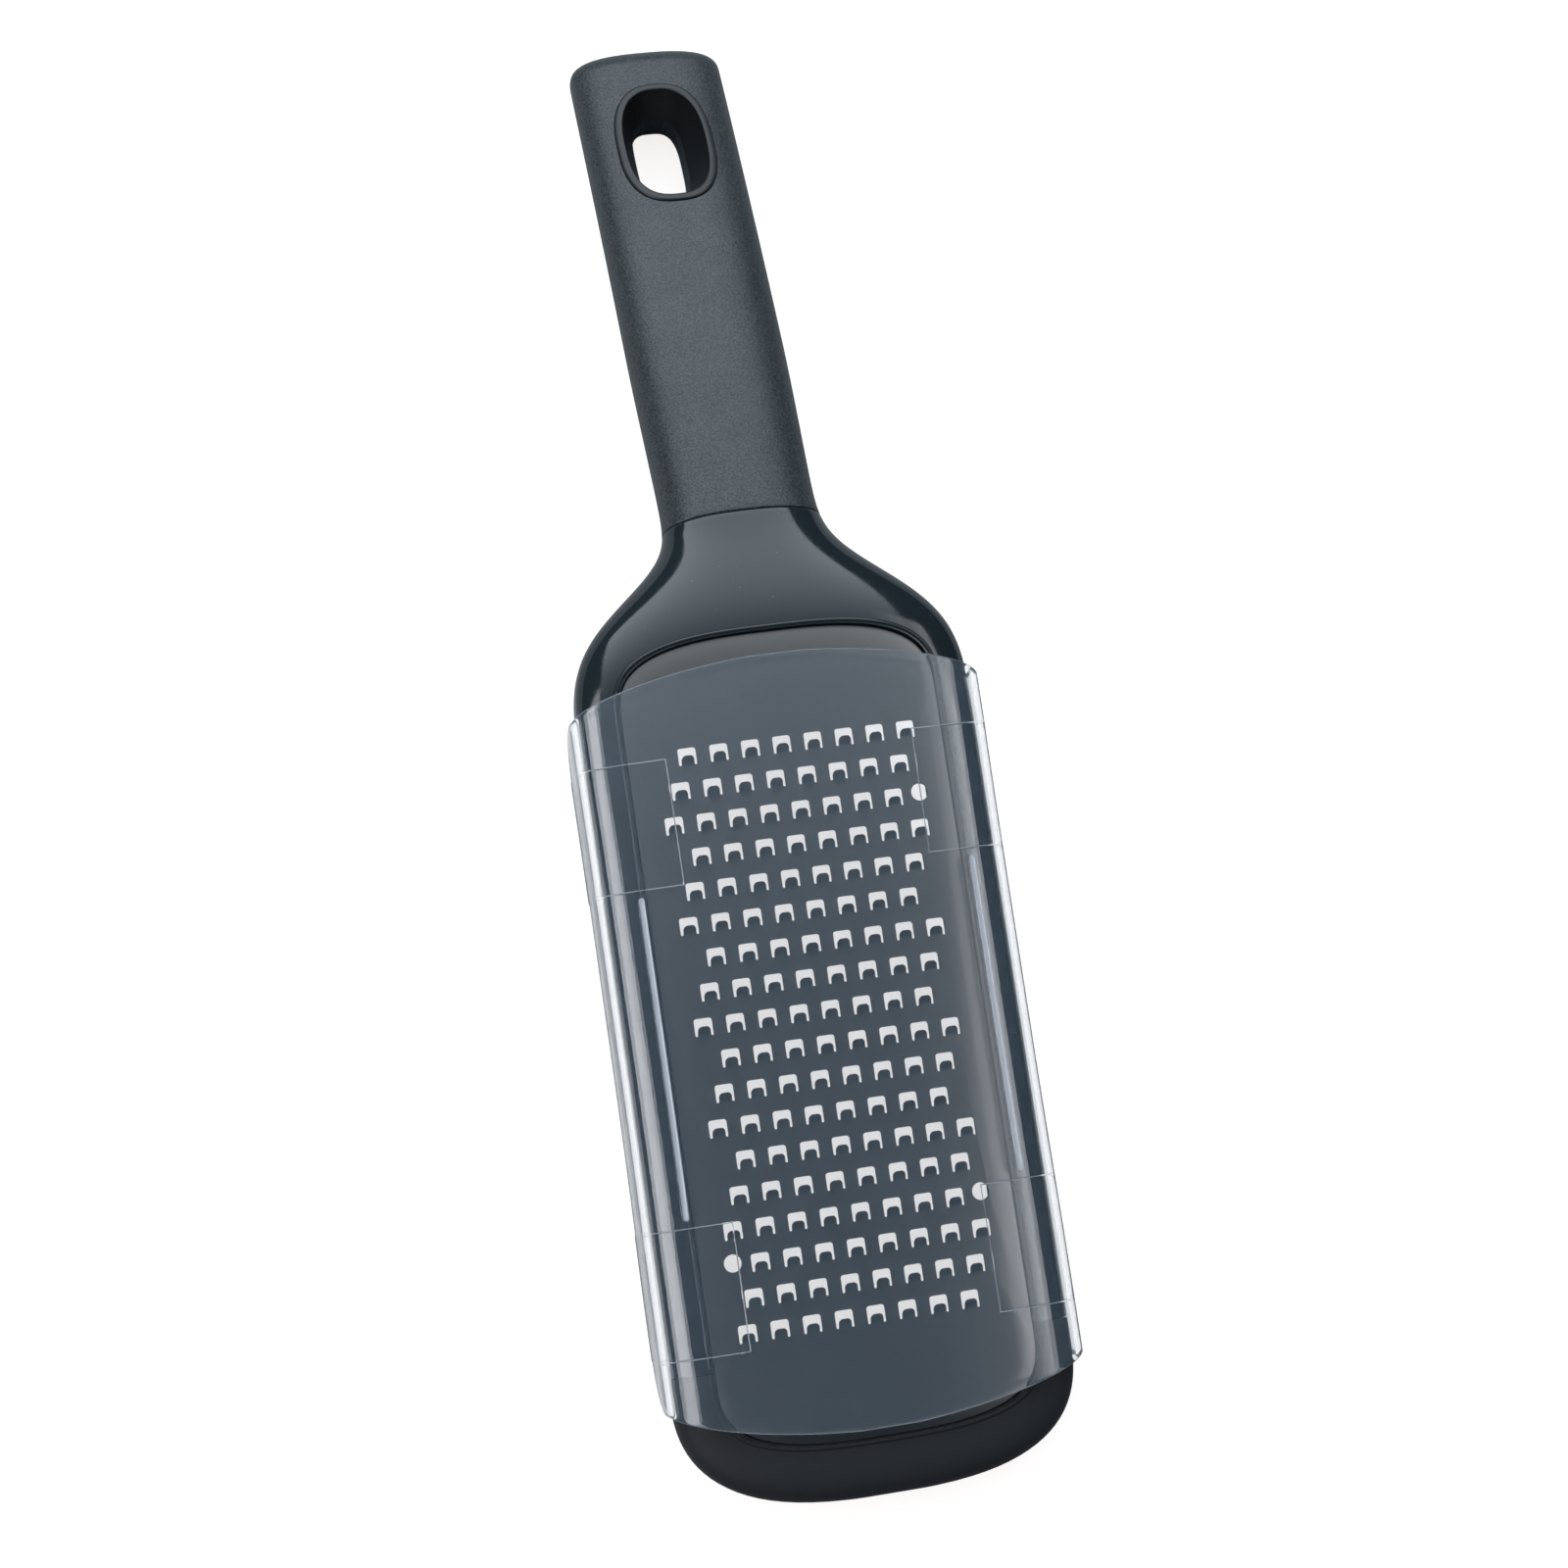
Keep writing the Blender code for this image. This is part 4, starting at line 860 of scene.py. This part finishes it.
def cover_section(y, inset):
    """Loop round the channel, one row for each y: over the outer face, back under the inner one.

    Both faces are superelliptic arches above straight walls, a wall apart less
    the insets. Where y lies in a hook's zone, the foot of the wall turns in;
    runners hang from the inner arch, and the outer arch rises in a fine ridge
    round each hook's zone. A bell-shaped waist draws the walls in mid-length.
    It gives x, z, how frosted each point is, or how pale it is painted over a runner as a painted
    highlight, and the outer face's count of points.
    """
    y, inset = column(y), column(inset)
    inner_width = HEAD_HALF_WIDTH + COVER_SIDE_GAP
    outer_width = inner_width + COVER_WALL
    marks = (MARK_X + MARK_WIDTH * np.array(MARK_PLACES)) / outer_width
    steps = np.array(RUNNER_PLACES)
    ribs = RUNNER_X + RUNNER_WIDTH / 2 * np.concatenate((-steps[:0:-1], steps))
    places = np.concatenate((marks, ribs / inner_width, ribs / outer_width))
    special = np.arccos(places ** (TOP_POWER / 2))
    even = np.linspace(0, math.pi, ROOF_STEPS)
    turn = np.sort(np.concatenate((even, special, math.pi - special)))[None]
    c, s = np.cos(turn), np.clip(np.sin(turn), 0.0, 1.0)
    shape_x, shape_z = np.sign(c) * np.abs(c) ** (2 / TOP_POWER), s ** (2 / TOP_POWER)
    outer_x = (outer_width - inset) * shape_x
    outer_z = HEAD_MIDDLE + (COVER_RISE + COVER_WALL - inset) * shape_z
    inner_x = (inner_width + inset) * shape_x
    inner_z = HEAD_MIDDLE + (COVER_RISE + inset) * shape_z
    rail_top = HEAD_MIDDLE + HEAD_HALF_DEPTH * (
        1 - ((RUNNER_X - RUNNER_WIDTH / 2) / HEAD_HALF_WIDTH) ** TOP_POWER
    ) ** (1 / TOP_POWER)
    hanging = runner_share(inner_x, y) * (inner_z > HEAD_MIDDLE)
    inner_z = blend(inner_z, rail_top + RUNNER_GAP, hanging)
    hooked, mark = 0 * y, 0 * outer_x
    for low, high in HOOK_ZONES:
        hooked = hooked + ((y > low) & (y < high))
        beside = np.abs(y - (low + high) / 2) - (high - low) / 2
        beyond = np.maximum(MARK_X - np.abs(outer_x), np.maximum(beside, -MARK_WIDTH))
        ridge = MARK_SLOPE * (1 - np.abs(beyond) / (MARK_WIDTH / 2))
        mark = np.maximum(mark, np.clip(ridge, 0.0, 1.0))
    outer_z = outer_z + MARK_HEIGHT * mark * (outer_z > HEAD_MIDDLE)
    drop = np.linspace(0.0, 1.0, WALL_STEPS)[1:][None]
    wall_z = blend(HEAD_MIDDLE, HOOK_TOP, np.sin(drop * math.pi / 2)) + 0 * y
    base, reach = HOOK_TOP - HOOK_THICKNESS * hooked, HOOK_REACH * hooked
    wall_out, wall_in = outer_width - inset, inner_width + inset
    same = np.ones_like(wall_z)
    tip = wall_in - reach
    hook_x, hook_z = np.hstack((wall_out, tip, tip)), np.hstack((base, base, HOOK_TOP + 0 * y))
    x = np.hstack((
        wall_out * same[:, ::-1], outer_x, -wall_out * same, -hook_x, -wall_in * same[:, ::-1],
        inner_x[:, ::-1], wall_in * same, hook_x[:, ::-1],
    ))
    z = np.hstack((
        wall_z[:, ::-1], outer_z + 0 * y, wall_z, hook_z, wall_z[:, ::-1],
        inner_z[:, ::-1], wall_z, hook_z[:, ::-1],
    ))
    frost_and_highlight = END_FROST * inset / COVER_EDGE_ROUND + 0 * x
    wall, roof = wall_z.shape[1], outer_x.shape[1]
    # Over each runner the outer face is painted pale: a painted highlight for the runner's bright
    # line beneath.
    pale = np.maximum(MARK_FROST * mark, RUNNER_PAINTED_HIGHLIGHT * runner_share(outer_x, y))
    frost_and_highlight[:, wall : wall + roof] += pale * (outer_z > HEAD_MIDDLE)
    waist = COVER_WAIST * np.exp(-(((y - COVER_WAIST_Y) / COVER_WAIST_LENGTH) ** 4))
    return x * (1 - waist / outer_width), z, frost_and_highlight, 2 * wall + roof


def cover_setback(x, z):
    """How far short of its end the cover stops: its rounded plan, and the wall's low corner."""
    across = np.minimum(np.abs(x) / (HEAD_HALF_WIDTH + COVER_SIDE_GAP + COVER_WALL + SEAT_GAP), 1.0)
    plan = COVER_END_ROUND * (1 - (1 - across**COVER_END_POWER) ** (1 / COVER_END_POWER))
    drop = np.clip(1 - (z - HOOK_TOP) / COVER_CORNER_HEIGHT, 0.0, 1.0)
    return plan + COVER_CORNER_LENGTH * (1 - np.sqrt(1 - drop**2))


def cover_mesh():
    """Channel as a grid of section loops along y, drawn out to its rounded ends, and end faces.

    Each row has a station in the straight middle and a share of the way from
    there to the end; the last rows thin the section to round the end's edges.
    """
    edge = MARK_WIDTH * np.array(MARK_PLACES)
    stops = [zone_end + edge for zone in HOOK_ZONES for zone_end in zone]
    tip_depths = 1 - np.sin(np.radians(RUNNER_TIP_TURNS))
    tips = RUNNER_HALF_LENGTH - RUNNER_WIDTH / 2 * tip_depths
    stops += [COVER_MIDDLE + tips, COVER_MIDDLE - tips, np.arange(ROW_START, ROW_STOP, ROW_SPACING)]
    middle = np.unique(np.concatenate(stops))
    out = np.linspace(0.0, 1.0, OUT_STEPS)[1:-1]
    turn = np.radians(np.linspace(0.0, 90.0, EDGE_STEPS))
    plain, rounding = np.zeros(len(out)), COVER_EDGE_ROUND * (1 - np.cos(turn))
    share = np.concatenate((out, np.ones(len(turn))))
    inset = np.concatenate((plain, rounding))
    back = np.concatenate((plain, COVER_EDGE_ROUND * (1 - np.sin(turn))))
    flat = np.zeros(len(middle))
    first, last = np.full(len(share), middle[0]), np.full(len(share), middle[-1])
    station = np.concatenate((first, middle, last))
    share = column(np.concatenate((share[::-1], flat, share)))
    inset = np.concatenate((inset[::-1], flat, inset))
    back = column(np.concatenate((back[::-1], flat, back)))
    side = np.where(np.arange(len(station)) < len(station) / 2, -1.0, 1.0)
    x, z, frost_and_highlight, half = cover_section(station, inset)
    end = column(np.where(side > 0, COVER_NECK_END, -COVER_FOOT_END))
    side = column(side)
    y = blend(column(station), end - side * cover_setback(x, z), share) - side * back
    rows, columns = x.shape
    faces = grid_faces(rows, columns, ring=True)
    outer = np.arange(half)
    inner = columns - HOOK_POINTS - 1 - outer
    for first in (0, (rows - 1) * columns):
        cap = np.column_stack((outer[:-1], outer[1:], inner[1:], inner[:-1])) + first
        faces += cap.tolist()
    return np.stack((x, y, z), axis=-1).reshape(-1, 3), faces, frost_and_highlight


# Clear polystyrene, moulded and polished: bright edges, dark lines where walls
# are seen end on, and a faint swim in what shows through it, some 25 mm across.
# Use has left a thin bluish milkiness and scuffs of 3 mm that dull its gloss.
# Its ends and the cores' outline are frosted pale. A pale band on the outer face over each runner
# is a painted highlight: it stands in for the bright line of the runner beneath.
styrene, styrene_shader = new_look(
    "clear_moulded_styrene",
    Base_Color=linear("#fbfcfd"),
    Roughness=0.04,
    IOR=1.57,
    Transmission_Weight=1.0,
)
place = node(styrene, "TexCoord", {})
flow = noise(styrene, place, 25.0, 1.0)
flow_bump = bump(styrene, flow, 0.03, 0.3)
scuffs = noise(styrene, place, 3.0, 4.0)
dulled = ramp(styrene, scuffs, (0.5, 0.75), (0.03, 0.09))
frost_and_highlight = node(styrene, "Attribute", {}, attribute_name="frost_and_highlight")
# The diffuse share is a bluish haze, turning warm pale where frosted and in the painted highlight
# over each runner.
milk_and_highlight_colour = two_tone(styrene, frost_and_highlight.outputs["Fac"], "#bccfe0", "#f4f0ec")
milk_and_highlight = node(styrene, "BsdfDiffuse", {"Color": milk_and_highlight_colour.outputs["Result"]})
milk_share = ramp(styrene, scuffs, (0.4, 0.75), (0.06, 0.075))
paled = node(
    styrene,
    "Math",
    {0: milk_share.outputs["Result"], 1: frost_and_highlight.outputs["Fac"]},
    operation="MAXIMUM",
)
milk_and_highlight_mix = node(
    styrene,
    "MixShader",
    {0: paled.outputs["Value"], 1: styrene_shader.outputs["BSDF"], 2: milk_and_highlight.outputs["BSDF"]},
)
output = styrene.node_tree.nodes["Material Output"]
connect(styrene, milk_and_highlight_mix.outputs["Shader"], output.inputs["Surface"])
connect(styrene, dulled.outputs["Result"], styrene_shader.inputs["Roughness"])
connect(styrene, flow_bump.outputs["Normal"], styrene_shader.inputs["Normal"])

cover_points, cover_faces, cover_frost_and_highlight = cover_mesh()
cover = new_piece("clear_cover", cover_points, cover_faces, styrene, "guard", cover_frost_and_highlight)
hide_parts("cover")


# Stage. A plain white table, big soft boxes, and the photograph's camera,
# fitted to the teeth: its place and axes are in the blade's millimetres.

CAMERA_PLACE = (-114.3, -24.36, 620.1)
CAMERA_RIGHT = (0.9761, -0.1459, 0.1610)
CAMERA_UP = (0.1249, 0.9831, 0.1337)
CAMERA_BACK = (-0.1778, -0.1104, 0.9779)
SENSOR_WIDTH, FOCAL_LENGTH = 36.0, 77.7
FLOOR_REACH = 3.0
ROOM_TINT, ROOM_STRENGTH = "#98d0ff", 0.06
FLOOR_GLOW = 0.86

for tool in (seat_tool, window_tool, core_tool, hole_tool, socket_tool):
    bpy.data.objects.remove(tool, do_unlink=True)

axes = np.array((CAMERA_RIGHT, CAMERA_UP, CAMERA_BACK))
axes = (lay(axes) - lay(np.zeros(3))) / MM
left_hand, _, right_hand = np.linalg.svd(axes)
turn = Matrix((left_hand @ right_hand).T.tolist()).to_4x4()
camera_data = bpy.data.cameras.new("photo_camera")
camera_data.sensor_width, camera_data.lens = SENSOR_WIDTH, FOCAL_LENGTH
camera = bpy.data.objects.new("photo_camera", camera_data)
camera.matrix_world = Matrix.Translation(lay(CAMERA_PLACE)) @ turn
bpy.context.scene.collection.objects.link(camera)
bpy.context.scene.camera = camera

middle = (cad_low + cad_high) / 2


def soft_box(name, direction, distance, width, height, radiance, tint, low=1.0, high=1.0):
    """Rectangular lamp that faces the object; its power follows from its radiance.

    Its share of the radiance runs in an S-curve from its lower edge to its
    higher one, as behind a graded diffuser.
    """
    lamp = bpy.data.lights.new(name, "AREA")
    lamp.shape = "RECTANGLE"
    lamp.size, lamp.size_y = width, height
    lamp.energy = radiance * math.pi * width * height
    lamp.color = linear(tint)[:3]
    lamp.use_nodes = True
    place = node(lamp, "NewGeometry", {})
    across = node(lamp, "SeparateXYZ", {"Vector": place.outputs["Parametric"]})
    share = node(
        lamp,
        "MapRange",
        {"Value": across.outputs["Y"], "To Min": low, "To Max": high},
        interpolation_type="SMOOTHSTEP",
    )
    connect(lamp, share.outputs["Result"], lamp.node_tree.nodes["Emission"].inputs["Strength"])
    box = bpy.data.objects.new(name, lamp)
    direction = Vector(direction).normalized()
    box.location = middle + direction * distance
    box.rotation_mode = "QUATERNION"
    box.rotation_quaternion = direction.to_track_quat("Z", "Y")
    box.visible_camera = False
    bpy.context.scene.collection.objects.link(box)
    return box


soft_box("handle_side_box", (-0.03, 0.475, 0.88), 0.95, 1.4, 1.47, 3.6, "#eaf6ff", 1.0, 0.0)
soft_box("left_box", (-0.72, -0.2, 0.665), 0.9, 0.7, 0.42, 4.0, "#fbfaff")
soft_box("right_box", (0.59, -0.05, 0.81), 0.95, 0.8, 0.34, 3.0, "#f8faff", 1.0, 0.1)

floor_mesh = bpy.data.meshes.new("floor")
floor_mesh.from_pydata(
    [(x * FLOOR_REACH, y * FLOOR_REACH, 0.0) for x, y in ((-1, -1), (1, -1), (1, 1), (-1, 1))],
    [],
    [(0, 1, 2, 3)],
)
floor = bpy.data.objects.new("floor", floor_mesh)
bpy.context.scene.collection.objects.link(floor)

# Matt white laminate. Its own colour is a light grey; a glow that only the camera
# and what is seen through the cover meet lifts it to white, and the shadow stays.
table_look, table_shader = new_look("white_table", Base_Color=linear("#b4b4b4"), Roughness=0.9)
path = node(table_look, "LightPath", {})
seen = node(
    table_look,
    "Math",
    {0: path.outputs["Is Camera Ray"], 1: path.outputs["Is Transmission Ray"]},
    operation="MAXIMUM",
)
glow = node(table_look, "Math", {0: seen.outputs[0], 1: FLOOR_GLOW}, operation="MULTIPLY")
table_shader.inputs["Emission Color"].default_value = linear("#fffcfa")
connect(table_look, glow.outputs[0], table_shader.inputs["Emission Strength"])
floor_mesh.materials.append(table_look)

# The room is white to the camera alone. What lights the object and shows in its
# reflections is a dim blue, so the white backdrop adds no light to it.
world = bpy.data.worlds.new("studio")
bpy.context.scene.world = world
world.use_nodes = True
background = world.node_tree.nodes["Background"]
path = node(world, "LightPath", {})
room = node(
    world,
    "Mix",
    {"Factor": path.outputs["Is Camera Ray"], "A": linear(ROOM_TINT), "B": linear("#ffffff")},
    data_type="RGBA",
)
strength = node(
    world,
    "MapRange",
    {"Value": path.outputs["Is Camera Ray"], "To Min": ROOM_STRENGTH, "To Max": 1.0},
)
connect(world, room.outputs["Result"], background.inputs["Color"])
connect(world, strength.outputs["Result"], background.inputs["Strength"])

bpy.context.scene.view_settings.view_transform = "Standard"
